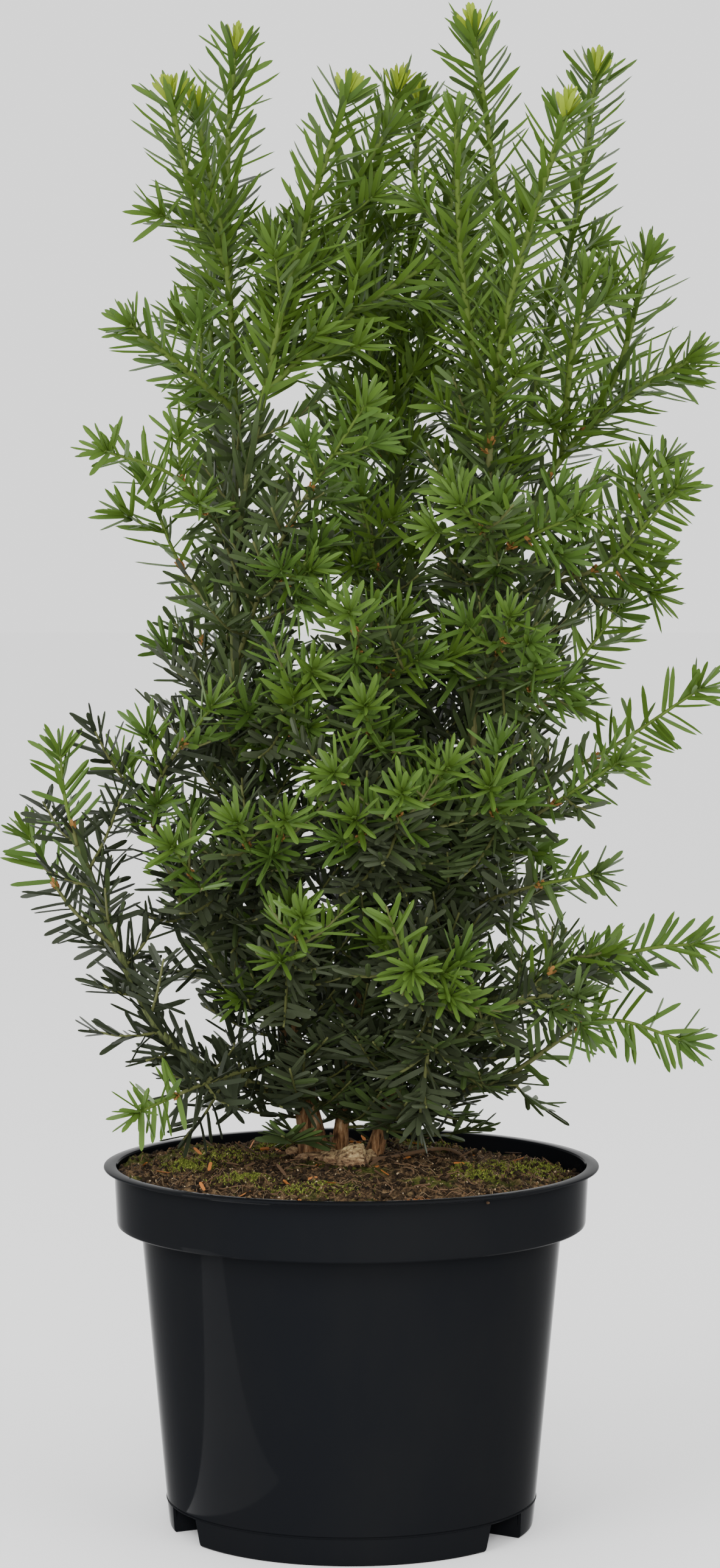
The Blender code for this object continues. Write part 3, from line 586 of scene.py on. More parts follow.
MASSES: Dict[str, Mass] = {
    "leaders_left": Mass(
        "stem_left",
        TIP,
        (
            Twig((-83, -34, 766), (6, 1, 0), 0.0, MATURE, MID, WHOLE, LIME),
            Twig((-95, -54, 770), (-4, -4, -5), 0.50, MATURE, MID, WHOLE, LIME),
            Twig((-63, 30, 808), (-3, 15, 10), 0.42, MATURE, MID, WHOLE, LIME),
            Twig((-116, -60, 648), (0, -4, 0), 0.05, MID, FRESH, WHOLE, BRIGHT),
        ),
        0.12,
        1.0,
    ),
    "leader_left_centre": Mass(
        "bough_upper_left",
        TIP,
        (
            Twig((-1, -30, 775), (-5, -3, -4), 0.0, MATURE, MID, WHOLE, LIME),
            Twig((46, -20, 686), (-6, 0, 2), 0.08, MATURE, MID, WHOLE, BRIGHT, 0.10),
            Twig((20, 4, 758), (-8, 4, 0), 0.10, MATURE, MID, WHOLE, BRIGHT),
            Twig((-26, -14, 704), (2, 4, 0), 0.16, MATURE, MID, WHOLE, BRIGHT),
        ),
        0.3,
        1.0,
    ),
    "leaders_centre": Mass(
        "stem_middle",
        TIP,
        (
            Twig((38, 70, 784), (1, 12, 0), 0.0, MATURE, MID, 200.0, LIME),
            Twig((27, 45, 788), (-22, -4, 0), 0.30, MATURE, MID, WHOLE, LIME),
            Twig((58, 66, 744), (4, 6, 0), 0.16, MATURE, MID, WHOLE, BRIGHT),
            Twig((4, 52, 734), (-4, 0, 0), 0.12, MATURE, MID, WHOLE, BRIGHT),
        ),
        0.4,
        1.0,
    ),
    "leaders_right_centre": Mass(
        "stem_right",
        528,
        (
            Twig((112, -80, 759), (-12, -8, 0), 0.0, MATURE, MID, 190.0, LIME),
            Twig((55, -50, 756), (-6, -5, 0), 0.28, MATURE, MID, WHOLE, BRIGHT),
        ),
        0.2,
        1.0,
    ),
    "leader_tallest": Mass("stem_right", TIP, (Twig((65, -14, 811), (8, 3, 0), 0.0, MATURE, MID, 240.0, LIME),), 0.1, 1.0),
    "leader_back_right": Mass(
        "bough_back_right", TIP, (Twig((136, 60, 799), (5, 6, 0), 0.0, MATURE, MID, WHOLE, LIME),), 0.15, 0.8
    ),
    "leaders_right": Mass(
        "bough_upper_right",
        TIP,
        (
            Twig((162, 30, 692), (10, 3, -6), 0.0, MATURE, MID, WHOLE, BRIGHT),
            Twig((125, -30, 676), (-3, -16, 0), 0.12, MATURE, MID, WHOLE, BRIGHT),
            Twig((184, 0, 634), (4, 0, 6), 0.24, MATURE, MID, WHOLE, BRIGHT),
        ),
        0.2,
        1.0,
    ),
    "spray_upper_right": Mass(
        "bough_middle_right",
        TIP,
        (
            Twig((174, 52, 581), (0, 10, -3), 0.0, OLD, MID, 75.0, BRIGHT, spread=FRONT),
            Twig((175, -30, 566), (0, 0, -12), 0.10, OLD, MID, 75.0, BRIGHT, spread=FRONT),
            Twig((166, 10, 525), (0, 0, -4), 0.22, OLD, MID, 50.0, BRIGHT, spread=FRONT),
        ),
        0.35,
        0.8,
    ),
    "spray_front_right_high": Mass(
        "stem_right",
        506,
        (
            Twig((119, -90, 549), (-14, 0, 2), 0.0, OLD, FRESH, 55.0, BRIGHT, spread=FRONT),
            Twig((56, -98, 554), (0, -4, 0), 0.42, MATURE, BRIGHT, 32.0, BRIGHT),
        ),
        1.1,
        0.35,
    ),
    "spray_front_right": Mass(
        "stem_right",
        456,
        (
            Twig((82, -104, 496), None, 0.0, OLD, FRESH, 40.0, BRIGHT),
            Twig((112, -76, 458), None, 0.35, OLD, FRESH, 40.0, FRESH),
        ),
        1.1,
        0.25,
    ),
    "spray_right_back": Mass(
        "stem_right", 418, (Twig((148, 22, 500), None, 0.0, OLD, MID, 45.0, FRESH, spread=FRONT),), 0.3, 0.5
    ),
    "spray_right_outer": Mass(
        "stem_right", 396, (Twig((187, -30, 457), None, 0.0, OLD, MID, 72.0, BRIGHT, spread=FRONT),), 0.0, 0.5
    ),
    "spray_right_middle": Mass(
        "stem_right",
        364,
        (
            Twig((140, -90, 421), (0, -12, 0), 0.0, OLD, FRESH, 52.0, BRIGHT),
            Twig((71, -114, 409), None, 0.30, OLD, FRESH, 34.0, BRIGHT),
        ),
        1.0,
        0.25,
    ),
    "spray_right_thin": Mass(
        "stem_right", 334, (Twig((128, -100, 363), (0, -14, 4), 0.0, SHADE, MATURE, 45.0, MATURE, 0.25, FRONT),), 0.0, 0.2
    ),
    "spray_low_right": Mass(
        "bough_low_right",
        TIP,
        (
            Twig((186, -30, 320), (0, 0, 2), 0.0, MATURE, FRESH, WHOLE, BRIGHT, spread=FRONT),
        ),
        0.1,
        1.0,
    ),
    "spray_front_low_right": Mass(
        "bough_front_right",
        TIP,
        (
            Twig((121, -112, 283), (4, -4, 12), 0.0, AGED, MATURE, 20.0, FRESH),
            Twig((134, -62, 318), (0, 0, 8), 0.15, MATURE, MID, 36.0, BRIGHT),
        ),
        0.6,
        0.2,
    ),
    "spray_drooping_right": Mass(
        "bough_drooping_right",
        TIP,
        (
            Twig((178, -50, 270), (0, -4, 20), 0.0, MATURE, FRESH, 62.0, FRESH, spread=FRONT),
        ),
        0.1,
        0.6,
    ),
    "spray_front_low": Mass(
        "stem_right",
        300,
        (
            Twig((32, -130, 316), (-8, 0, 4), 0.0, SHADE, BRIGHT, 34.0, BRIGHT),
            Twig((52, -104, 300), None, 0.45, SHADE, FRESH, 18.0, BRIGHT),
            Twig((36, -62, 228), (6, 0, 14), 0.30, SHADE, SHADE, 0.0, SHADE),
        ),
        1.4,
        0.1,
    ),
    "spray_front_low_left": Mass(
        "stem_left", 292, (Twig((-25, -122, 343), None, 0.0, SHADE, BRIGHT, 30.0, BRIGHT),), 1.2, 0.15
    ),
    "spray_front_left": Mass(
        "stem_left",
        350,
        (
            Twig((-33, -122, 393), None, 0.0, SHADE, FRESH, 30.0, BRIGHT),
            Twig((-59, -112, 391), None, 0.45, OLD, FRESH, 28.0, BRIGHT),
        ),
        1.1,
        0.15,
    ),
    "spray_left_front": Mass("stem_left", 320, (Twig((-93, -102, 378), None, 0.0, SHADE, FRESH, 36.0, BRIGHT),), 1.2, 0.2),
    "spray_left_inner": Mass(
        "bough_inner_left",
        TIP,
        (
            Twig((-72, -80, 450), (-24, 8, 4), 0.0, AGED, FRESH, 36.0, BRIGHT),
            Twig((-124, -20, 417), (-4, 6, 0), 0.42, AGED, FRESH, 44.0, BRIGHT, spread=FRONT),
        ),
        0.6,
        0.4,
    ),
    "spray_left_tip": Mass(
        "bough_low_left", TIP, (Twig((-155, -40, 424), (-2, 0, 0), 0.0, AGED, FRESH, 44.0, BRIGHT, spread=FRONT),), 0.0, 0.5
    ),
    "spray_left_outer": Mass(
        "bough_low_left", 318, (Twig((-175, -4, 377), (-4, 6, -6), 0.0, AGED, FRESH, 34.0, BRIGHT, spread=FRONT),), 0.0, 0.4
    ),
    "spray_left_low": Mass(
        "stem_left", 254, (Twig((-108, -144, 245), (-4, -6, 2), 0.0, AGED, BRIGHT, 46.0, BRIGHT, spread=FRONT),), 0.15, 0.0
    ),
    "spray_left_high": Mass(
        "stem_left", 530, (Twig((-127, -100, 581), (4, -8, 12), 0.0, MATURE, BRIGHT, 75.0, BRIGHT, spread=FRONT),), 0.25, 0.9
    ),
    "spray_left_middle": Mass("stem_left", 486, (Twig((-112, 0, 571), (-4, 4, -8), 0.0, OLD, MID, 55.0, FRESH),), 0.25, 0.7),
    "spray_centre_high": Mass(
        "stem_left",
        470,
        (
            Twig((8, -90, 606), (-8, -10, 0), 0.0, OLD, FRESH, 62.0, BRIGHT),
            Twig((-20, -84, 520), (0, 0, -4), 0.34, OLD, FRESH, 34.0, BRIGHT),
        ),
        1.2,
        0.4,
    ),
    "spray_centre_upper": Mass("stem_middle", 484, (Twig((5, -46, 560), (0, -12, 0), 0.0, OLD, MID, 50.0, FRESH),), 1.2, 0.6),
    "spray_front_upper": Mass(
        "stem_left",
        430,
        (
            Twig((-19, -104, 469), None, 0.0, OLD, FRESH, 34.0, BRIGHT),
            Twig((-22, -88, 438), None, 0.40, SHADE, MID, 26.0, FRESH),
        ),
        1.1,
        0.2,
    ),
    "spray_front_centre_high": Mass(
        "stem_middle",
        452,
        (
            Twig((-1, -132, 499), None, 0.0, OLD, FRESH, 32.0, BRIGHT),
            Twig((36, -92, 474), None, 0.50, OLD, MID, 30.0, FRESH),
        ),
        1.1,
        0.22,
    ),
    "spray_front_centre": Mass(
        "stem_middle",
        398,
        (
            Twig((7, -120, 451), None, 0.0, OLD, FRESH, 34.0, BRIGHT),
            Twig((-9, -136, 417), None, 0.45, SHADE, BRIGHT, 30.0, BRIGHT),
        ),
        1.1,
        0.15,
    ),
    "spray_front_centre_low": Mass(
        "stem_middle",
        352,
        (
            Twig((26, -148, 408), None, 0.0, SHADE, FRESH, 34.0, BRIGHT),
            Twig((50, -124, 420), None, 0.45, OLD, FRESH, 30.0, BRIGHT),
            Twig((2, -128, 394), None, 0.40, SHADE, FRESH, 26.0, BRIGHT),
        ),
        1.1,
        0.12,
    ),
    "spray_back_left_high": Mass("stem_left", 500, (Twig((-81, 88, 714), (-4, 18, 0), 0.0, OLD, MID, 150.0, BRIGHT),), 0.3, 0.9),
    "spray_back_right_high": Mass("stem_right", 478, (Twig((66, 102, 730), (-2, 18, 0), 0.0, OLD, MID, 150.0, BRIGHT),), 0.3, 0.9),
    "spray_back_centre_high": Mass("stem_middle", 500, (Twig((-10, 116, 624), (0, 10, 0), 0.0, OLD, MID, 70.0, BRIGHT),), 1.1, 0.5),
    "spray_back_left": Mass(
        "stem_left",
        420,
        (
            Twig((-90, 100, 502), None, 0.0, OLD, FRESH, 36.0, BRIGHT),
            Twig((-42, 112, 492), None, 0.45, OLD, FRESH, 36.0, BRIGHT),
        ),
        1.1,
        0.3,
    ),
    "spray_back_right": Mass(
        "stem_right",
        436,
        (
            Twig((104, 106, 512), None, 0.0, OLD, FRESH, 40.0, BRIGHT),
            Twig((56, 112, 506), None, 0.45, OLD, FRESH, 36.0, BRIGHT),
        ),
        1.1,
        0.3,
    ),
    "spray_back_low_left": Mass(
        "stem_left",
        286,
        (
            Twig((-102, 110, 348), None, 0.0, SHADE, FRESH, 32.0, BRIGHT),
            Twig((-50, 124, 332), None, 0.45, SHADE, MID, 28.0, FRESH),
        ),
        1.1,
        0.15,
    ),
    "spray_back_low_right": Mass(
        "stem_middle",
        306,
        (
            Twig((84, 122, 354), None, 0.0, SHADE, FRESH, 34.0, BRIGHT),
            Twig((108, 84, 346), None, 0.55, SHADE, MID, 28.0, FRESH),
        ),
        1.1,
        0.15,
    ),
    "spray_back_low": Mass("stem_middle", 262, (Twig((-10, 138, 306), None, 0.0, SHADE, FRESH, 30.0, BRIGHT),), 1.1, 0.1),
    "spray_back_middle": Mass(
        "stem_middle",
        402,
        (
            Twig((4, 142, 464), None, 0.0, OLD, FRESH, 36.0, BRIGHT),
            Twig((50, 126, 426), None, 0.45, OLD, MID, 30.0, FRESH),
        ),
        1.1,
        0.25,
    ),
}


def even_points(points: Sequence[Point], count: int) -> List[Vector]:
    """Space points evenly along a smooth line through the given points.

    Args:
        points: Points that the line passes through.
        count: Number of equal steps.

    Returns:
        The points, one more than count.
    """
    knots = [Vector(point) for point in points]
    knots = [knots[0] * 2 - knots[1]] + knots + [knots[-1] * 2 - knots[-2]]
    fine: List[Vector] = []
    for index in range(1, len(knots) - 2):
        before, start, end, after = knots[index - 1 : index + 3]
        for step in range(24):
            t = step / 24
            bend = (2 * before - 5 * start + 4 * end - after) * t * t
            turn = (3 * start - before - 3 * end + after) * t * t * t
            fine.append(0.5 * (2 * start + (end - before) * t + bend + turn))
    fine.append(knots[-2])
    lengths = [0.0]
    for first, second in zip(fine, fine[1:]):
        lengths.append(lengths[-1] + (second - first).length)
    found = []
    at = 0
    for index in range(count + 1):
        wanted = lengths[-1] * index / count
        while at < len(fine) - 2 and lengths[at + 1] < wanted:
            at += 1
        share = (wanted - lengths[at]) / max(lengths[at + 1] - lengths[at], 1e-9)
        found.append(fine[at].lerp(fine[at + 1], min(max(share, 0.0), 1.0)))
    return found


def path_length(path: Sequence[Vector]) -> float:
    """Measure a path."""
    return sum((second - first).length for first, second in zip(path, path[1:]))


def point_along(path: Sequence[Vector], share: float) -> Tuple[Vector, Vector]:
    """Find a place on a path.

    Args:
        path: Points of the path.
        share: Share of its length from the start.

    Returns:
        The point and the direction there.
    """
    exact = min(max(share, 0.0), 1.0) * (len(path) - 1)
    at = min(int(exact), len(path) - 2)
    return path[at].lerp(path[at + 1], exact - at), (path[at + 1] - path[at]).normalized()


def bowed_path(start: Vector, tip: Point, belly: Optional[Point], count: int) -> List[Vector]:
    """Lead a path from start to tip through a middle that strays from the chord.

    Args:
        start: First point.
        tip: Last point.
        belly: How far the middle strays, or None where it sags by its own weight.
        count: Number of steps.

    Returns:
        The path.
    """
    end = Vector(tip)
    stray = Vector(belly) if belly is not None else Vector((0.0, 0.0, -SAG * (end - start).length))
    return even_points((start, (start + end) * 0.5 + stray, end), count)


def mesh_from(name: str, spots: np.ndarray, faces: np.ndarray) -> bpy.types.Mesh:
    """Make a mesh from points in millimetres and triangles.

    Args:
        name: Name of the mesh.
        spots: Points.
        faces: Corners of each triangle.

    Returns:
        The mesh, in metres.
    """
    mesh = bpy.data.meshes.new(name)
    mesh.vertices.add(len(spots))
    mesh.vertices.foreach_set("co", (spots * MM).astype(np.float32).ravel())
    mesh.loops.add(faces.size)
    mesh.loops.foreach_set("vertex_index", faces.astype(np.int32).ravel())
    mesh.polygons.add(len(faces))
    mesh.polygons.foreach_set("loop_start", np.arange(0, faces.size, 3, dtype=np.int32))
    mesh.update(calc_edges=True)
    return mesh


def piece_from(name: str, mesh: bpy.types.Mesh, look: bpy.types.Material, smooth: bool) -> bpy.types.Object:
    """Link a mesh as a piece with one material.

    Args:
        name: Name of the piece.
        mesh: Its mesh, in metres.
        look: Its material.
        smooth: Whether its faces are shaded smooth.

    Returns:
        The piece.
    """
    mesh.name = name
    mesh.materials.clear()
    mesh.materials.append(look)
    mesh.polygons.foreach_set("use_smooth", [smooth] * len(mesh.polygons))
    piece = bpy.data.objects.new(name, mesh)
    bpy.context.scene.collection.objects.link(piece)
    LOG.info("%s: %d faces", name, len(mesh.polygons))
    return piece


def repeated(spots: np.ndarray, pattern: np.ndarray) -> Tuple[np.ndarray, np.ndarray]:
    """Join many copies of one small shape.

    Args:
        spots: Points of each copy.
        pattern: Triangles of one copy.

    Returns:
        All points and all triangles.
    """
    count, each = spots.shape[0], spots.shape[1]
    every = (pattern[None] + (np.arange(count) * each)[:, None, None]).reshape(-1, 3)
    return spots.reshape(-1, 3), every


@dataclass
class Needles:
    """Needles of one tone: flat blades with a raised midrib, a short stalk and a tip.

    Args:
        shape: Shape of the tips.
        ridge: Height of the midrib as a share of the width.
        rows: Root, aim, side, length, width and curl of each needle.
    """

    shape: Tip = Tip.SHORT
    ridge: float = 0.29
    rows: List[Tuple[float, ...]] = field(default_factory=list)

    def add(self, root: Vector, aim: Vector, side: Vector, length: float, width: float, curl: float) -> None:
        """Note one needle.

        Args:
            root: Where it stands on its twig.
            aim: The way it points.
            side: The way its width lies.
            length: Its length.
            width: Its width.
            curl: How far its tip bends up, as a share of its length.
        """
        self.rows.append((*root, *aim, *side, length, width, curl))

    def mesh(self, name: str) -> bpy.types.Mesh:
        """Make all needles into one mesh."""
        data = np.array(self.rows)
        root, aim, side = data[:, 0:3], data[:, 3:6], data[:, 6:9]
        length, width, curl = data[:, 9:10], data[:, 10:11], data[:, 11:12]
        up = np.cross(aim, side)
        stations = ((0.0, 0.14), (0.06, 0.40), (0.30, 0.50), *self.shape.value)
        rings = []
        for share, half in stations:
            centre = root + aim * length * share + up * length * curl * share * share
            rings.append(centre - side * width * half)
            rings.append(centre + side * width * half)
            rings.append(centre + up * width * self.ridge * min(1.0, 2.4 * half))
        tip = root + aim * length + up * length * curl
        spots = np.stack(rings + [tip], axis=1)
        faces = [(0, 2, 1)]
        for low in range(0, 3 * (len(stations) - 1), 3):
            for corner in range(3):
                after = (corner + 1) % 3
                faces.append((low + corner, low + after, low + 3 + after))
                faces.append((low + corner, low + 3 + after, low + 3 + corner))
        last = 3 * (len(stations) - 1)
        faces.extend((last + corner, last + (corner + 1) % 3, last + 3) for corner in range(3))
        mesh = mesh_from(name, *repeated(spots, np.array(faces)))
        self._sharpen(mesh, spots.shape[1])
        return mesh

    @staticmethod
    def _sharpen(mesh: bpy.types.Mesh, each: int) -> None:
        """Keep the margins and the midrib crisp, and the blade smooth along its length.

        Args:
            mesh: The joined needles.
            each: Number of points of one needle.
        """
        ends = np.empty(2 * len(mesh.edges), dtype=np.int32)
        mesh.edges.foreach_get("vertices", ends)
        first, second = (ends.reshape(-1, 2) % each).T
        lengthwise = (abs(first - second) == 3) | (first == each - 1) | (second == each - 1)
        sharp = mesh.attributes.new("sharp_edge", "BOOLEAN", "EDGE")
        sharp.data.foreach_set("value", lengthwise)


@dataclass
class Tubes:
    """Tubes of one kind, joined into one mesh."""

    spots: List[np.ndarray] = field(default_factory=list)
    faces: List[np.ndarray] = field(default_factory=list)
    total: int = 0

    def add(self, path: Sequence[Vector], radii: Sequence[float], sides: int, relief: float = 0.0) -> None:
        """Add one tapering tube with a ridged surface and closed ends.

        Args:
            path: Points of its axis.
            radii: Radius at each point.
            sides: Number of sides.
            relief: Height of the ridges as a share of the radius.
        """
        tangent = (path[1] - path[0]).normalized()
        across = tangent.cross(Vector((0.3, 1.0, 0.2))).normalized()
        rings = []
        for index, centre in enumerate(path):
            ahead = path[min(index + 1, len(path) - 1)]
            behind = path[max(index - 1, 0)]
            tangent = (ahead - behind).normalized()
            across = (across - tangent * across.dot(tangent)).normalized()
            other = tangent.cross(across)
            for side in range(sides):
                angle = math.tau * side / sides
                out = across * math.cos(angle) + other * math.sin(angle)
                radius = radii[index]
                if relief:
                    spot = Vector((2.6 * math.cos(angle), 2.6 * math.sin(angle), centre.z * 0.03))
                    radius *= 1.0 + relief * (noise.noise(spot) + 0.6 * noise.noise(spot * 2.7))
                rings.append(centre + out * radius)
        rings.extend((path[0], path[-1]))
        count = len(path)
        faces = []
        for ring in range(count - 1):
            low, high = ring * sides, (ring + 1) * sides
            for side in range(sides):
                after = (side + 1) % sides
                faces.append((low + side, low + after, high + after))
                faces.append((low + side, high + after, high + side))
        foot, top = count * sides, count * sides + 1
        for side in range(sides):
            after = (side + 1) % sides
            faces.append((foot, after, side))
            faces.append((top, (count - 1) * sides + side, (count - 1) * sides + after))
        self.spots.append(np.array([tuple(spot) for spot in rings]))
        self.faces.append(np.array(faces) + self.total)
        self.total += len(rings)

    def mesh(self, name: str) -> bpy.types.Mesh:
        """Make all tubes into one mesh."""
        return mesh_from(name, np.concatenate(self.spots), np.concatenate(self.faces))


@dataclass
class Crown:
    """Stems, boughs, twigs and needles.

    Args:
        low: Lowest corner of the room that they may fill, in millimetres.
        high: Highest corner of that room.
        needle_floor: Height below which no needle hangs over the compost.
        rim: Radius of the pot's rim.
        twig_foot: Radius of a spray's twig at its foot.
        leader_foot: Radius of a leader at its foot.
    """

    low: Vector
    high: Vector
    needle_floor: float = 202.0
    rim: float = 139.0
    twig_foot: float = 1.45
    leader_foot: float = 2.0

    def __post_init__(self) -> None:
        """Start with nothing grown."""
        self.needles = {tone: Needles(LEAVES[tone].tip) for tone in Tone}
        self.shoots = {rind: Tubes() for rind in Rind}
        self.bark = {"stem_bark": Tubes(), "bough_bark": Tubes()}
        self.limbs: Dict[str, List[Vector]] = {}
        self.rng = random.Random(77)

    def grow(self) -> None:
        """Grow everything from the ground up."""
        for name, stem in STEMS.items():
            self._grow_stem(name, stem)
        for name, bough in BOUGHS.items():
            self._grow_bough(name, bough)
        for mass in MASSES.values():
            self._grow_mass(mass)
        for name, path in self.limbs.items():
            self._dress_limb(name, path)

    def _grow_stem(self, name: str, stem: Stem) -> None:
        """Grow one stem with its root flare."""
        path = even_points(stem.points, 120)
        radii = []
        for index in range(len(path)):
            share = index / (len(path) - 1)
            radius = stem.tip + (stem.foot - stem.tip) * (1.0 - share) ** 1.6
            radii.append(radius + 0.3 * stem.foot * math.exp(-34.0 * share))
        self.limbs[name] = path
        self.bark["stem_bark"].add(path, radii, 28, 0.15)

    def _grow_bough(self, name: str, bough: Bough) -> None:
        """Grow one bough from its parent."""
        path = bowed_path(self._axis_at(bough.parent, bough.height), bough.tip, bough.belly, 50)
        radii = []
        for index in range(len(path)):
            share = index / (len(path) - 1)
            radii.append(1.8 + (bough.foot - 1.8) * (1.0 - share) ** 1.4)
        self.limbs[name] = path
        self.bark["bough_bark"].add(path, radii, 14, 0.14)

    def _grow_mass(self, mass: Mass) -> None:
        """Grow the twigs of one mass, each with its side shoots."""
        lead = mass.twigs[0]
        goes_on = mass.height is TIP
        start = self.limbs[mass.parent][-1] if goes_on else self._axis_at(mass.parent, mass.height)
        first = bowed_path(start, lead.tip, lead.belly, 24)
        for index, twig in enumerate(mass.twigs):
            path = first if index == 0 else bowed_path(point_along(first, twig.share)[0], twig.tip, twig.belly, 18)
            upright = path[-1].z > 620.0
            shoot = Shoot(
                path,
                self.leader_foot if upright else self.twig_foot,
                1.5 if upright else 0.8,
                twig.old,
                twig.new,
                twig.growth,
                twig.tuft,
                twig.bare,
                1.65 if upright else 2.5,
                twig.spread,
                60.0 if upright else 62.0,
                1.18 if upright else 1.0,
            )
            self._draw(shoot)
            self._side_shoots(shoot, mass)

    def _side_shoots(self, parent: Shoot, mass: Mass) -> None:
        """Grow side shoots along a twig, old ones low on it and young ones nearer its tip."""
        length = path_length(parent.path)
        count = round(mass.side * length / 14.0)
        span = 0.40 if parent.tuft is LIME else 0.74
        turn = self.rng.uniform(0.0, math.tau)
        for index in range(count):
            share = 0.08 + span * (index + self.rng.uniform(0.1, 0.9)) / max(count, 1)
            root, along = point_along(parent.path, share)
            turn += GOLDEN_ANGLE
            young = self.rng.random() < mass.young
            reach = self.rng.uniform(22.0, 38.0) if young else self.rng.uniform(24.0, 50.0)
            new = parent.new if young else parent.old
            old = parent.old if share < 0.7 else parent.new
            self._side_shoot(root, along, turn, reach * (1.1 - 0.45 * share), 50.0, 0.16, old, new, young)

    def _side_shoot(
        self,
        root: Vector,
        along: Vector,
        turn: float,
        reach: float,
        lean: float,
        rise: float,
        old: Tone,
        new: Tone,
        young: bool,
    ) -> None:
        """Grow one side shoot.

        Args:
            root: Where it leaves its parent.
            along: The way its parent runs there.
            turn: Angle round its parent.
            reach: Its length.
            lean: Angle from its parent in degrees.
            rise: How far its tip bends up, as a share of its length.
            old: Tone of its older needles.
            new: Tone of its young needles.
            young: Whether it all grew this year.
        """
        out = Matrix.Rotation(turn, 3, along) @ along.orthogonal().normalized()
        tilt = math.radians(lean + self.rng.uniform(-9.0, 9.0))
        aim = along * math.cos(tilt) + out * math.sin(tilt)
        tip = root + aim.normalized() * reach + Vector((0.0, 0.0, rise * reach))
        if not self._inside(tip, 8.0):
            return
        path = bowed_path(root, tuple(tip), None, 8)
        spread = Spread.LEVEL if abs((tip - root).normalized().z) < 0.75 else Spread.ROUND
        growth = WHOLE if young else 0.0
        tuft = new if young else None
        self._draw(Shoot(path, 1.0, 0.6, old, new, growth, tuft, 0.10, 2.3, spread, 64.0, 0.94))

    def _dress_limb(self, name: str, path: Sequence[Vector]) -> None:
        """Stand old needles and old side shoots on a stem or bough."""
        is_stem = name in STEMS
        start = 300.0 if is_stem else 238.0
        upper = [point for point in path if point.z > start]
        on_right = path[-1].x > 60.0
        if len(upper) > 4:
            # Needles standing on the stems take the darker SHADE tone, painted shade for the inside of the crown.
            old = SHADE if is_stem or on_right or path[-1].z > 400.0 else AGED
            newer = 200.0 if is_stem else 60.0
            self._stand_needles(Shoot(upper, 2.0, 2.0, old, OLD, newer, None, 0.0, 2.8, Spread.ROUND, 36.0, 1.2))
        length = path_length(path)
        count = round(length / (3.8 if is_stem else 11.0))
        turn = self.rng.uniform(0.0, math.tau)
        for index in range(count):
            root, along = point_along(path, (index + self.rng.uniform(0.0, 1.0)) / count)
            turn += GOLDEN_ANGLE
            if root.z < 212.0 or (root.z > 450.0 and index % 4):
                continue
            low = root.z < 262.0
            reach = self.rng.uniform(34.0, 84.0 if low else 66.0) if is_stem else self.rng.uniform(24.0, 46.0)
            side = OLD if on_right or root.z > 400.0 else AGED
            # Side shoots on the stems are mostly in the SHADE tone, painted shade.
            old, new = self.rng.choice((SHADE, SHADE, OLD)) if is_stem else side, OLD
            if root.z > 470.0:
                old, new = self.rng.choice((OLD, MATURE, MATURE)), MID
            if self.rng.random() < 0.12:
                new = MID
            lean, rise = (74.0, 0.02) if low else (58.0, 0.14)
            faces_front = (Matrix.Rotation(turn, 3, along) @ along.orthogonal()).y < 0.0
            if is_stem and root.z < 340.0 and not faces_front and self.rng.random() < 0.5:
                turn += math.pi
            elif is_stem and faces_front and any(start <= root.z <= end for start, end in STEMS[name].bare):
                continue
            self._side_shoot(root, along, turn, reach, lean, rise, old, new, False)

    def _draw(self, shoot: Shoot) -> None:
        """Draw a shoot's stem, older and younger part, and its needles."""
        count = len(shoot.path)
        radii = [shoot.foot + (shoot.tip - shoot.foot) * index / (count - 1) for index in range(count)]
        length = path_length(shoot.path)
        split = round((count - 1) * max(0.0, 1.0 - shoot.growth / length))
        if split > 0:
            self.shoots[Rind.OLIVE].add(shoot.path[: split + 1], radii[: split + 1], 6)
        if split < count - 1:
            self.shoots[Rind.GREEN].add(shoot.path[split:], radii[split:], 6)
            joint, along = point_along(shoot.path, split / (count - 1) + 0.01)
            if split > 0 or (joint.z < 600.0 and self.rng.random() < 0.4):
                self._stand_scales(joint, along, radii[split])
        self._stand_needles(shoot)

    def _stand_needles(self, shoot: Shoot) -> None:
        """Stand needles along a shoot and a tuft round its bud."""
        length = path_length(shoot.path)
        turn = self.rng.uniform(0.0, math.tau)
        place = shoot.bare * length
        index = 0
        end = length - (7.0 if shoot.tuft is LIME else 2.0)
        while place < end:
            share = place / length
            turn += GOLDEN_ANGLE + self.rng.gauss(0.0, 0.15)
            near_tip = max(0.0, 1.0 - (length - place) / 30.0)
            lean = shoot.lean * (1.0 - 0.5 * near_tip) + self.rng.gauss(0.0, 6.0 if shoot.spread is not FRONT else 11.0)
            tone = self._varied(shoot.new if length - place < shoot.growth else shoot.old)
            if shoot.tuft is LIME and self.rng.random() < 1.2 * near_tip:
                tone = self.rng.choice((FRESH, BRIGHT))
            scale = shoot.scale * (1.0 - 0.38 * near_tip**2)
            self._needle(shoot, share, turn, lean, tone, scale, index)
            place += shoot.pitch * self.rng.uniform(0.8, 1.2)
            index += 1
        if shoot.tuft is None:
            return
        leader = shoot.tuft is LIME
        for number in range(22 if leader else 12):
            turn += GOLDEN_ANGLE
            lean = (9.0 + 2.5 * number if leader else 20.0 + 4.6 * number) + self.rng.uniform(-5.0, 5.0)
            tone = shoot.tuft if number < 15 else BRIGHT
            scale = 0.70 + 0.02 * number if leader else 0.74 + 0.02 * number
            self._needle(shoot, 1.0 - 0.5 * number / length, turn, lean, tone, scale, -1)

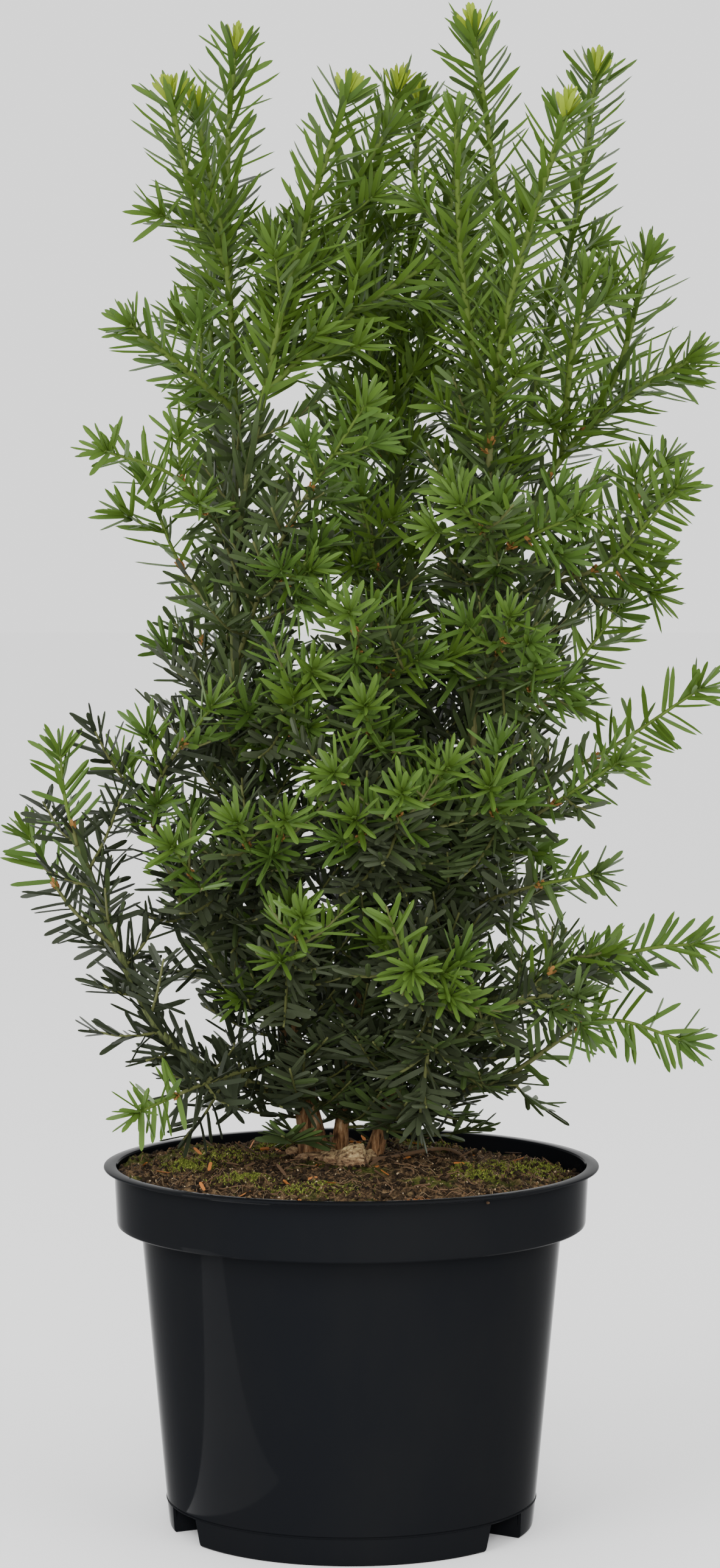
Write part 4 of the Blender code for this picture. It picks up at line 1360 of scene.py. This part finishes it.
    def _needle(
        self, shoot: Shoot, share: float, turn: float, lean: float, tone: Tone, scale: float, index: int
    ) -> None:
        """Stand one needle on a shoot.

        Args:
            shoot: The shoot.
            share: How far along the shoot.
            turn: Angle round the shoot.
            lean: Angle from the shoot in degrees.
            tone: Its tone.
            scale: Its length against the usual.
            index: Its number, even and odd parting to two sides, or -1 in a tuft.
        """
        root, along = point_along(shoot.path, share)
        rng = self.rng
        parted = shoot.spread is not Spread.ROUND
        if parted and index >= 0 and (shoot.spread is Spread.LEVEL or rng.random() < 0.62):
            level = along.cross(FACES[shoot.spread]).normalized()
            over = level.cross(along)
            spread = rng.gauss(0.25, 0.38)
            out = level * math.cos(spread) * (1.0 if index % 2 else -1.0) + over * math.sin(spread)
        else:
            out = Matrix.Rotation(turn, 3, along) @ along.orthogonal().normalized()
        tilt = math.radians(lean)
        aim = (along * math.cos(tilt) + out * math.sin(tilt)).normalized()
        side = along.cross(out).normalized()
        if parted:
            side = (along - aim * along.dot(aim)).normalized()
        side = Matrix.Rotation(math.radians(rng.gauss(0.0, 38.0 if shoot.scale < 1.1 else 30.0)), 3, aim) @ side
        leaf = LEAVES[tone]
        length = leaf.length * scale * rng.uniform(0.86, 1.10)
        if not self._inside(root + aim * length, 0.0):
            return
        width = leaf.width * rng.uniform(0.9, 1.08) * min(1.0, 0.55 + 0.5 * scale)
        self.needles[tone].add(root, aim, side, length, width, rng.uniform(0.0, 0.12 if scale < 1.1 else 0.24))

    def _varied(self, tone: Tone) -> Tone:
        """Let some needles be a step older or younger than their neighbours, the step below the old needles being the
        painted-shade tone.
        """
        if tone not in SHADE_AND_AGES or self.rng.random() > 0.24:
            return tone
        step = self.rng.choice((-1, 1))
        return SHADE_AND_AGES[min(max(SHADE_AND_AGES.index(tone) + step, 0), len(SHADE_AND_AGES) - 1)]

    def _stand_scales(self, spot: Vector, along: Vector, radius: float) -> None:
        """Stand the dry bud scales that ring the foot of this year's growth."""
        across = along.orthogonal().normalized()
        leaf = LEAVES[Tone.SCALE]
        for index in range(8):
            out = Matrix.Rotation(GOLDEN_ANGLE * index, 3, along) @ across
            aim = (along * 0.9 + out * 0.5).normalized()
            root = spot + along * (0.5 * index - 2.0) + out * radius * 0.8
            side = along.cross(out).normalized()
            self.needles[Tone.SCALE].add(root, aim, side, leaf.length, leaf.width, 0.1)

    def _axis_at(self, name: str, height: float) -> Vector:
        """Find the point of a limb's axis at a height."""
        path = self.limbs[name]
        for low, high in zip(path, path[1:]):
            if low.z <= height <= high.z:
                return low.lerp(high, (height - low.z) / (high.z - low.z))
        return path[-1].copy()

    def _inside(self, spot: Vector, margin: float) -> bool:
        """Tell whether a point lies in the room for the crown, off the compost and the rim."""
        if spot.z < self.needle_floor + 0.5 * margin and math.hypot(spot.x, spot.y) < self.rim:
            return False
        return all(self.low[axis] + margin <= spot[axis] <= self.high[axis] - margin for axis in range(3))

    def build(self) -> List[bpy.types.Object]:
        """Make the grown crown into pieces.

        Returns:
            The pieces, the bark first.
        """
        looks = {"stem_bark": BarkFinish(), "bough_bark": BarkFinish(brown_below=0.19, olive_above=0.25)}
        pieces = [piece_from(name, self.bark[name].mesh(name), look.make(name), True) for name, look in looks.items()]
        for rind, tubes in self.shoots.items():
            if tubes.total:
                pieces.append(piece_from(rind.value, tubes.mesh(rind.value), RINDS[rind].make(rind.value), True))
        for tone, needles in self.needles.items():
            if needles.rows:
                look = LEAVES[tone].finish.make(tone.value)
                pieces.append(piece_from(tone.value, needles.mesh(tone.value), look, True))
        return pieces


@dataclass
class Pot:
    """The nursery pot, sizes in millimetres."""

    height: float = 197.2
    lip: float = 135.0
    collar_top: float = 129.2
    collar_low: float = 127.9
    collar_foot: float = 164.3
    body_top: float = 114.7
    base: float = 99.6
    wall: float = 1.5
    floor: float = 3.0
    mould_line: float = 15.4
    steps: int = 180
    pocket_azimuths: Tuple[float, ...] = (-154.0, -34.0, 86.0)
    pocket_height: float = 14.5
    pocket_depth: float = 25.0
    pocket_half_width: float = 18.0
    pocket_lean: float = 0.84

    def profile(self) -> List[Tuple[float, float]]:
        """List radius and height from the middle of the foot out, up, over the lip and down inside."""
        inner_top, inner_low = self.collar_top - self.wall, self.collar_low - self.wall
        slope = (self.body_top - self.base) / (self.collar_foot - 1.2)
        line = self.base + slope * self.mould_line
        return [
            (self.base - 1.2, 0.0),
            (self.base - 0.3, 0.8),
            (self.base + 0.1, 2.4),
            (line - 0.05, self.mould_line - 0.8),
            (line + 0.35, self.mould_line - 0.5),
            (line - 0.45, self.mould_line),
            (line + 0.05, self.mould_line + 0.6),
            (self.body_top, self.collar_foot - 1.0),
            (self.body_top + 1.0, self.collar_foot),
            (self.collar_low - 1.4, self.collar_foot + 0.2),
            (self.collar_low - 0.4, self.collar_foot + 1.0),
            (self.collar_low, self.collar_foot + 2.4),
            (self.collar_low + 0.05, self.collar_foot + 3.4),
            (self.collar_top, self.height - 3.2),
            (self.collar_top + 0.8, self.height - 2.2),
            (self.lip - 1.2, self.height - 1.7),
            (self.lip - 0.3, self.height - 1.4),
            (self.lip, self.height - 0.8),
            (self.lip - 0.2, self.height - 0.3),
            (self.lip - 0.9, self.height),
            (inner_top + 1.6, self.height),
            (inner_top + 0.6, self.height - 0.1),
            (inner_top, self.height - 1.0),
            (inner_low, self.collar_foot + self.wall + 1.1),
            (inner_low - 1.4, self.collar_foot + self.wall),
            (self.body_top - self.wall, self.collar_foot + self.wall - 0.3),
            (self.base - self.wall, self.floor),
        ]

    def build(self) -> bpy.types.Object:
        """Draw the pot up ring by ring, close its floor, and cut its drain pockets.

        Returns:
            The pot.
        """
        rings = self.profile()
        radius, level = rings[0]
        bpy.ops.object.select_all(action="DESELECT")
        bpy.ops.mesh.primitive_circle_add(
            vertices=self.steps, radius=radius * MM, fill_type="NGON", location=(0.0, 0.0, level * MM)
        )
        pot = bpy.context.object
        pot.name = "pot_shell"
        bpy.ops.object.transform_apply(location=True)
        bpy.ops.object.mode_set(mode="EDIT")
        bpy.ops.mesh.select_all(action="SELECT")
        bpy.ops.mesh.flip_normals()
        bpy.ops.mesh.select_mode(type="EDGE")
        for next_radius, next_level in rings[1:]:
            rise = (0.0, 0.0, (next_level - level) * MM)
            if (radius, level) == rings[0]:
                bpy.ops.mesh.select_all(action="SELECT")
                bpy.ops.mesh.extrude_edges_move(TRANSFORM_OT_translate={"value": rise})
            else:
                bpy.ops.mesh.extrude_edges_move(TRANSFORM_OT_translate={"value": rise})
            ratio = next_radius / radius
            bpy.ops.transform.resize(value=(ratio, ratio, 1.0), center_override=(0.0, 0.0, next_level * MM))
            radius, level = next_radius, next_level
        bpy.ops.mesh.edge_face_add()
        bpy.ops.mesh.select_all(action="SELECT")
        bpy.ops.mesh.normals_make_consistent(inside=False)
        bpy.ops.object.mode_set(mode="OBJECT")
        pot.data.materials.append(PotPlastic().make())
        near = self.base - self.pocket_depth
        wall = self.wall
        covers = self._pocket_blocks(wall, near - wall, self.base - 2.6, 0.8, self.pocket_height + wall)
        cuts = self._pocket_blocks(0.0, near, self.base + 20.0, -5.0, self.pocket_height)
        for operation, blocks in (("UNION", covers), ("DIFFERENCE", cuts)):
            for block in blocks:
                self._apply(pot, operation, block)
        bpy.ops.object.select_all(action="DESELECT")
        pot.select_set(True)
        bpy.context.view_layer.objects.active = pot
        bpy.ops.object.shade_smooth_by_angle(angle=math.radians(30.0))
        LOG.info("pot_shell: %d faces", len(pot.data.polygons))
        return pot

    @staticmethod
    def _apply(pot: bpy.types.Object, operation: str, block: bpy.types.Object) -> None:
        """Join a block to the pot or cut it out, and remove the block."""
        join = pot.modifiers.new(operation, "BOOLEAN")
        join.operation = operation
        join.solver = "EXACT"
        join.object = block
        bpy.context.view_layer.objects.active = pot
        bpy.ops.object.modifier_apply(modifier=join.name)
        bpy.data.objects.remove(block, do_unlink=True)

    def _pocket_blocks(
        self, wider: float, near: float, far: float, bottom: float, top: float
    ) -> List[bpy.types.Object]:
        """Make one block for each drain pocket, narrower at the top.

        Args:
            wider: How much wider than the pocket on each side.
            near: Radius of its inner face.
            far: Radius of its outer face.
            bottom: Height of its lower face.
            top: Height of its upper face.

        Returns:
            The blocks.
        """
        blocks = []
        for azimuth in self.pocket_azimuths:
            bpy.ops.mesh.primitive_cube_add(size=1.0)
            block = bpy.context.object
            size = Vector((far - near, 2.0 * (self.pocket_half_width + wider), top - bottom))
            middle = Vector((0.5 * (near + far), 0.0, 0.5 * (bottom + top)))
            turn = Matrix.Rotation(math.radians(azimuth), 3, "Z")
            for vertex in block.data.vertices:
                lean = self.pocket_lean if vertex.co.z > 0.0 else 1.0
                spot = Vector((vertex.co.x * size.x, vertex.co.y * size.y * lean, vertex.co.z * size.z))
                vertex.co = turn @ (spot + middle) * MM
            blocks.append(block)
        return blocks


@dataclass
class Compost:
    """The compost in the pot with its moss, crumbs, scales, straws and roots, sizes in millimetres."""

    top: float = SOIL_TOP
    edge: float = 190.0
    radius: float = 126.9
    level_radius: float = 40.0
    foot: float = 170.3
    rings: int = 96
    sides: int = 300
    moss: Tuple[Tuple[float, float, float, float], ...] = (
        (-70.0, 14.0, 30.0, 30.0),
        (-88.0, -14.0, 18.0, 16.0),
        (-44.0, 50.0, 22.0, 16.0),
        (92.0, -6.0, 30.0, 24.0),
        (66.0, -34.0, 20.0, 17.0),
        (104.0, 24.0, 14.0, 20.0),
        (-22.0, -86.0, 30.0, 14.0),
        (-58.0, -60.0, 18.0, 12.0),
        (40.0, 84.0, 26.0, 14.0),
        (-30.0, 98.0, 20.0, 10.0),
    )

    def __post_init__(self) -> None:
        """Start the seeded draws."""
        self.rng = np.random.default_rng(5)

    def level(self, x: float, y: float) -> float:
        """Tell how high the compost lies at a place."""
        radius = math.hypot(x, y)
        fall = max(radius - self.level_radius, 0.0) / (self.radius - self.level_radius)
        height = GROUND - (GROUND - self.edge) * fall**1.3
        height += 4.6 * fall * (-0.9 * x - 0.3 * y) / self.radius
        spot = Vector((x, y, 0.0))
        bumps = 3.4 * noise.noise(spot * 0.04 + Vector((0.0, 0.0, 0.3)))
        bumps += 2.6 * noise.noise(spot * 0.11 + Vector((0.0, 0.0, 1.7)))
        bumps += 3.4 * noise.noise(spot * 0.30 + Vector((0.0, 0.0, 4.1)))
        bumps += 1.9 * noise.noise(spot * 0.75 + Vector((0.0, 0.0, 7.7)))
        calm = 0.45 + 0.55 * min(1.0, fall * 1.5)
        return height + bumps * calm + 2.2 * self.mossy(x, y)

    def mossy(self, x: float, y: float) -> float:
        """Tell how deep in moss a place lies, from 0 to 1."""
        best = 0.0
        ragged = 0.35 * noise.noise(Vector((x * 0.10, y * 0.10, 9.0)))
        for centre_x, centre_y, half_x, half_y in self.moss:
            away = math.hypot((x - centre_x) / half_x, (y - centre_y) / half_y)
            best = max(best, min(1.0, 1.6 * (1.0 - away) + ragged))
        return best

    def build(self) -> List[bpy.types.Object]:
        """Lay the compost and scatter what lies on it.

        Returns:
            The pieces, the surface first.
        """
        spray = Needles(Tip.ROUND)
        self._lay_flat(spray, 44, LEAVES[Tone.DEAD])
        brown = Needles(Tip.ROUND)
        self._lay_flat(brown, 120, Leaf(PlainFinish((0.0, 0.0, 0.0), 1.0), 11.0, 1.7))
        straws, roots = Tubes(), Tubes()
        self._lay_fibres(straws, 340, (4.0, 14.0), (0.09, 0.22))
        self._lay_fibres(roots, 110, (8.0, 26.0), (0.20, 0.50))
        self._lay_root(roots)
        finishes = {
            "peat_crumbs": PlainFinish((0.0190, 0.0125, 0.0075), 0.95, 0.1),
            "brown_crumbs": PlainFinish((0.105, 0.062, 0.029), 0.95, 0.1),
            "tan_crumbs": PlainFinish((0.340, 0.255, 0.150), 0.95, 0.1),
            "moss_dark": PlainFinish((0.052, 0.064, 0.011), 0.8, 0.1),
            "moss_green": PlainFinish((0.115, 0.140, 0.022), 0.8, 0.1),
            "moss_light": PlainFinish((0.200, 0.225, 0.045), 0.8, 0.1),
            "fallen_scales": PlainFinish((0.330, 0.120, 0.030), 0.7, 0.2),
            "fallen_needles": PlainFinish((0.075, 0.045, 0.025), 0.85, 0.15),
            "pale_straws": PlainFinish((0.160, 0.112, 0.062), 0.8, 0.2),
            "fine_roots": PlainFinish((0.110, 0.066, 0.036), 0.85, 0.15),
        }
        meshes = {
            "peat_crumbs": self._crumbs(1300, (1.4, 4.2)),
            "brown_crumbs": self._crumbs(1000, (0.8, 2.4)),
            "tan_crumbs": self._crumbs(360, (0.7, 1.8)),
            "moss_dark": self._moss(12000, 0.9),
            "moss_green": self._moss(15000, 1.0),
            "moss_light": self._moss(6000, 1.1),
            "fallen_scales": spray.mesh("scales"),
            "fallen_needles": brown.mesh("needles"),
            "pale_straws": straws.mesh("straws"),
            "fine_roots": roots.mesh("roots"),
        }
        pieces = [piece_from("compost_surface", self._surface(), PeatFinish().make(), True)]
        for name, mesh in meshes.items():
            smooth = name in ("pale_straws", "fine_roots")
            pieces.append(piece_from(name, mesh, finishes[name].make(name), smooth))
        return pieces

    def _surface(self) -> bpy.types.Mesh:
        """Make the lumpy top as rings of triangles, with a wall and a closed bottom."""
        spots = [(0.0, 0.0, self.level(0.0, 0.0))]
        for ring in range(1, self.rings + 1):
            radius = self.radius * ring / self.rings
            for side in range(self.sides):
                angle = math.tau * side / self.sides
                x, y = radius * math.cos(angle), radius * math.sin(angle)
                spots.append((x, y, self.level(x, y)))
        for side in range(self.sides):
            angle = math.tau * side / self.sides
            spots.append((0.99 * self.radius * math.cos(angle), 0.99 * self.radius * math.sin(angle), self.foot))
        spots.append((0.0, 0.0, self.foot))
        faces = []
        bottom = len(spots) - 1
        for side in range(self.sides):
            after = (side + 1) % self.sides
            faces.append((0, 1 + side, 1 + after))
            for ring in range(self.rings):
                low, high = 1 + ring * self.sides, 1 + (ring + 1) * self.sides
                faces.append((low + side, high + side, high + after))
                faces.append((low + side, high + after, low + after))
            rim = 1 + self.rings * self.sides
            faces.append((rim + side, bottom, rim + after))
        return mesh_from("surface", np.array(spots), np.array(faces))

    def _spots(self, count: int) -> np.ndarray:
        """Draw places on the compost, even over its area."""
        radius = (self.radius - 3.0) * np.sqrt(self.rng.random(count))
        angle = self.rng.random(count) * math.tau
        x, y = radius * np.cos(angle), radius * np.sin(angle)
        level = np.array([self.level(a, b) for a, b in zip(x, y)])
        return np.stack((x, y, level), axis=1)

    def _crumbs(self, count: int, sizes: Tuple[float, float]) -> bpy.types.Mesh:
        """Scatter crumbs of peat.

        Args:
            count: How many.
            sizes: Smallest and largest across.

        Returns:
            The joined mesh.
        """
        ball = bmesh.new()
        bmesh.ops.create_icosphere(ball, subdivisions=1, radius=0.5)
        shape = np.array([tuple(vertex.co) for vertex in ball.verts])
        pattern = np.array([[vertex.index for vertex in face.verts] for face in ball.faces])
        ball.free()
        places = self._spots(count)
        size = self.rng.uniform(*sizes, (count, 1, 1))
        rough = self.rng.uniform(0.65, 1.25, (count, len(shape), 1))
        squash = self.rng.uniform(0.45, 1.0, (count, 1, 3))
        spots = shape[None] * rough * squash * size + places[:, None, :]
        spots[..., 2] += 0.2 * size[..., 0]
        return mesh_from("crumbs", *repeated(spots, pattern))

    def _moss(self, count: int, height: float) -> bpy.types.Mesh:
        """Stand small blades of moss on the mossy places.

        Args:
            count: How many at most.
            height: Usual height of a blade.

        Returns:
            The joined mesh.
        """
        rows = []
        while len(rows) < count:
            centre_x, centre_y, half_x, half_y = self.moss[self.rng.integers(len(self.moss))]
            x = centre_x + half_x * self.rng.normal(0.0, 0.55)
            y = centre_y + half_y * self.rng.normal(0.0, 0.55)
            if math.hypot(x, y) < self.radius - 3.0 and self.rng.random() < self.mossy(x, y) + 0.12:
                rows.append((x, y, self.level(x, y) - 0.4))
        foot = np.array(rows)
        turn = self.rng.random((count, 1)) * math.tau + np.array([[0.0, 2.094, 4.189]])
        width = self.rng.uniform(0.28, 0.5, (count, 1))
        ring = np.stack((np.cos(turn) * width, np.sin(turn) * width, np.zeros_like(turn)), axis=2)
        tall = height * self.rng.uniform(0.5, 1.2, (count, 1))
        lean = self.rng.normal(0.0, 0.6, (count, 2)) * tall
        top = foot + np.concatenate((lean, tall), axis=1)
        spots = np.concatenate((foot[:, None, :] + ring, top[:, None, :]), axis=1)
        pattern = np.array([(0, 2, 1), (0, 1, 3), (1, 2, 3), (2, 0, 3)])
        return mesh_from("moss", *repeated(spots, pattern))

    def _lay_flat(self, needles: Needles, count: int, leaf: Leaf) -> None:
        """Lay fallen needles or scales on the compost.

        Args:
            needles: Where they are noted.
            count: How many.
            leaf: Their sizes.
        """
        for x, y, level in self._spots(count):
            turn = self.rng.random() * math.tau
            aim = Vector((math.cos(turn), math.sin(turn), self.rng.normal(0.1, 0.35))).normalized()
            side = aim.cross(Vector((0.0, 0.0, 1.0))).normalized()
            side = Matrix.Rotation(self.rng.normal(0.0, 0.6), 3, aim) @ side
            size = leaf.length * self.rng.uniform(0.7, 1.2)
            needles.add(Vector((x, y, level + 0.8)), aim, side, size, leaf.width, self.rng.uniform(-0.1, 0.15))

    def _lay_fibres(
        self, tubes: Tubes, count: int, lengths: Tuple[float, float], radii: Tuple[float, float]
    ) -> None:
        """Lay curved straws or roots on the compost.

        Args:
            tubes: Where they are noted.
            count: How many.
            lengths: Shortest and longest.
            radii: Thinnest and thickest.
        """
        for x, y, _ in self._spots(count):
            turn = self.rng.random() * math.tau
            step = self.rng.uniform(*lengths) / 7.0
            path = []
            for index in range(8):
                if math.hypot(x, y) > self.radius - 3.0:
                    break
                lift = 0.5 + 0.9 * math.sin(math.pi * index / 7.0)
                path.append(Vector((x, y, self.level(x, y) + lift)))
                turn += self.rng.normal(0.0, 0.35)
                x, y = x + step * math.cos(turn), y + step * math.sin(turn)
            if len(path) > 2:
                radius = self.rng.uniform(*radii)
                tubes.add(path, [radius * (1.0 - 0.08 * index) for index in range(len(path))], 5)

    def _lay_root(self, tubes: Tubes) -> None:
        """Lay the one thicker root that crosses the compost to the right of the stems."""
        course = ((11.0, -6.0), (22.0, 8.0), (36.0, 20.0), (50.0, 30.0), (60.0, 14.0), (64.0, -10.0), (66.0, -30.0))
        knots = [(x, y, self.level(x, y) + 0.9) for x, y in course]
        path = even_points(knots, 30)
        tubes.add(path, [1.5 - 0.03 * index for index in range(len(path))], 8, 0.2)


@dataclass
class RootCrown:
    """The healed lump between the stems and the smaller knuckles beside it, sizes in millimetres."""

    lumps: Tuple[Tuple[Point, Point], ...] = (
        ((1.0, -10.0, SOIL_TOP - 0.5), (9.6, 11.4, 10.0)),
        ((-9.0, -2.0, SOIL_TOP - 1.5), (9.4, 8.4, 7.0)),
        ((9.5, 5.0, SOIL_TOP - 1.0), (5.0, 5.4, 5.0)),
        ((-22.0, 5.0, SOIL_TOP - 2.5), (10.4, 7.4, 5.4)),
        ((-32.0, 16.0, SOIL_TOP - 1.0), (4.6, 4.2, 5.4)),
    )

    def build(self) -> bpy.types.Object:
        """Model the lumps, roughened and joined.

        Returns:
            The piece.
        """
        parts = []
        for number, (centre, size) in enumerate(self.lumps):
            bpy.ops.object.select_all(action="DESELECT")
            bpy.ops.mesh.primitive_ico_sphere_add(subdivisions=5, radius=1.0)
            part = bpy.context.object
            for vertex in part.data.vertices:
                spot = vertex.co + Vector((0.0, 0.0, 3.0 * number))
                bump = 0.20 * noise.noise(spot * 1.9) + 0.10 * noise.noise(spot * 4.6) + 0.05 * noise.noise(spot * 11.0)
                grown = vertex.co * (1.0 + bump)
                vertex.co = (Vector(centre) + Vector(a * b for a, b in zip(grown, size))) * MM
            parts.append(part)
        for part in parts:
            part.select_set(True)
        bpy.context.view_layer.objects.active = parts[0]
        bpy.ops.object.join()
        piece = bpy.context.object
        piece.name = "callus_lump"
        piece.data.materials.append(CallusFinish().make())
        bpy.ops.object.shade_smooth()
        LOG.info("callus_lump: %d faces", len(piece.data.polygons))
        return piece


@dataclass
class Studio:
    """The floor, the lights and the camera.

    Args:
        place: Where the camera stands, in metres.
        pitch: How far it looks down, in degrees.
        lens: Its lens in millimetres.
        white: Strength of the white surroundings.
    """

    place: Point = (0.0047, -2.038, 0.511)
    pitch: float = 3.0
    lens: float = 86.3
    white: float = 1.55

    def build(self) -> None:
        """Set everything that isn't part of the object."""
        bpy.ops.mesh.primitive_plane_add(size=80.0, location=(0.0, 0.0, 0.0))
        floor = bpy.context.object
        floor.name = "floor"
        floor.data.materials.append(PlainFinish((0.96, 0.96, 0.96), 0.9, 0.2).make("floor_paper"))
        floor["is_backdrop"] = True
        world = bpy.data.worlds.new("studio_world")
        world.use_nodes = True
        background = world.node_tree.nodes["Background"]
        background.inputs["Color"].default_value = (1.0, 1.0, 1.0, 1.0)
        background.inputs["Strength"].default_value = self.white
        bpy.context.scene.world = world
        self._area("key_light", (-1.5, -1.9, 2.0), (0.0, 0.0, 0.42), (1.5, 1.5), 48.0)
        self._area("fill_light", (1.7, -1.9, 1.9), (0.0, 0.0, 0.42), (1.5, 1.5), 28.0)
        self._area("front_light", (0.0, -2.35, 0.75), (0.0, 0.0, 0.45), (0.7, 0.7), 34.0, Shine.SOFT)
        self._area("side_panel", (-2.6, -0.3, 0.9), (0.0, 0.0, 0.15), (1.2, 1.9), 8.0, Shine.GLEAM)
        self._area("floor_panel", (-0.34, -0.12, 0.004), (-0.34, -0.12, 1.0), (0.46, 0.14), 2.4, Shine.GLEAM, -6.0)
        self._camera()

    @staticmethod
    def _area(
        name: str,
        place: Point,
        target: Point,
        size: Tuple[float, float],
        power: float,
        shine: Shine = Shine.ALL,
        turn: float = 0.0,
    ) -> None:
        """Hang one soft light.

        Args:
            name: Its name.
            place: Where it hangs.
            target: Where it points.
            size: Its width and height.
            power: Its power in watts.
            shine: What it shows up in.
            turn: How far it is turned round its own axis, in degrees.
        """
        data = bpy.data.lights.new(name, "AREA")
        data.shape = "RECTANGLE"
        data.size, data.size_y = size
        data.energy = power
        lamp = bpy.data.objects.new(name, data)
        lamp.location = place
        lamp.visible_camera = False
        lamp.visible_diffuse = shine is not Shine.GLEAM
        lamp.visible_glossy = shine is not Shine.SOFT
        aim = Vector(target) - Vector(place)
        facing = aim.to_track_quat("-Z", "Y") @ Quaternion((0.0, 0.0, 1.0), math.radians(turn))
        lamp.rotation_euler = facing.to_euler()
        bpy.context.scene.collection.objects.link(lamp)

    def _camera(self) -> None:
        """Set the camera at the photograph's angle."""
        data = bpy.data.cameras.new("camera")
        data.lens = self.lens
        camera = bpy.data.objects.new("camera", data)
        camera.location = self.place
        camera.rotation_euler = (math.radians(90.0 - self.pitch), 0.0, 0.0)
        bpy.context.scene.collection.objects.link(camera)
        bpy.context.scene.camera = camera


def declare(piece: bpy.types.Object, nodes: Sequence[str] = ()) -> None:
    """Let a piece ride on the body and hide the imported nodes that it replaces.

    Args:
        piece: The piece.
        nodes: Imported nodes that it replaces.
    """
    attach(piece, BODY)
    if nodes:
        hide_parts(*nodes)


def main() -> None:
    """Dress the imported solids."""
    logging.basicConfig(level=logging.INFO)
    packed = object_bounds()
    declare(Pot().build(), ["pot"])
    for piece in Compost().build():
        declare(piece, ["soil"] if piece.name == "compost_surface" else [])
    declare(RootCrown().build(), ["root_crown"])
    margin = Vector((5.0, 5.0, 0.0))
    crown = Crown(Vector(packed[0]) / MM - margin, Vector(packed[1]) / MM + margin)
    crown.grow()
    for piece in crown.build():
        if piece.name == "stem_bark":
            declare(piece, list(STEMS))
        elif piece.name == "bough_bark":
            declare(piece, list(BOUGHS))
        elif piece.name == Rind.GREEN.value:
            declare(piece, list(MASSES))
        elif piece.name in (Rind.OLIVE.value, Rind.BROWN.value, Tone.SCALE.value):
            declare(piece)
        else:
            declare(piece)
    Studio().build()


if __name__ == "__main__":
    main()
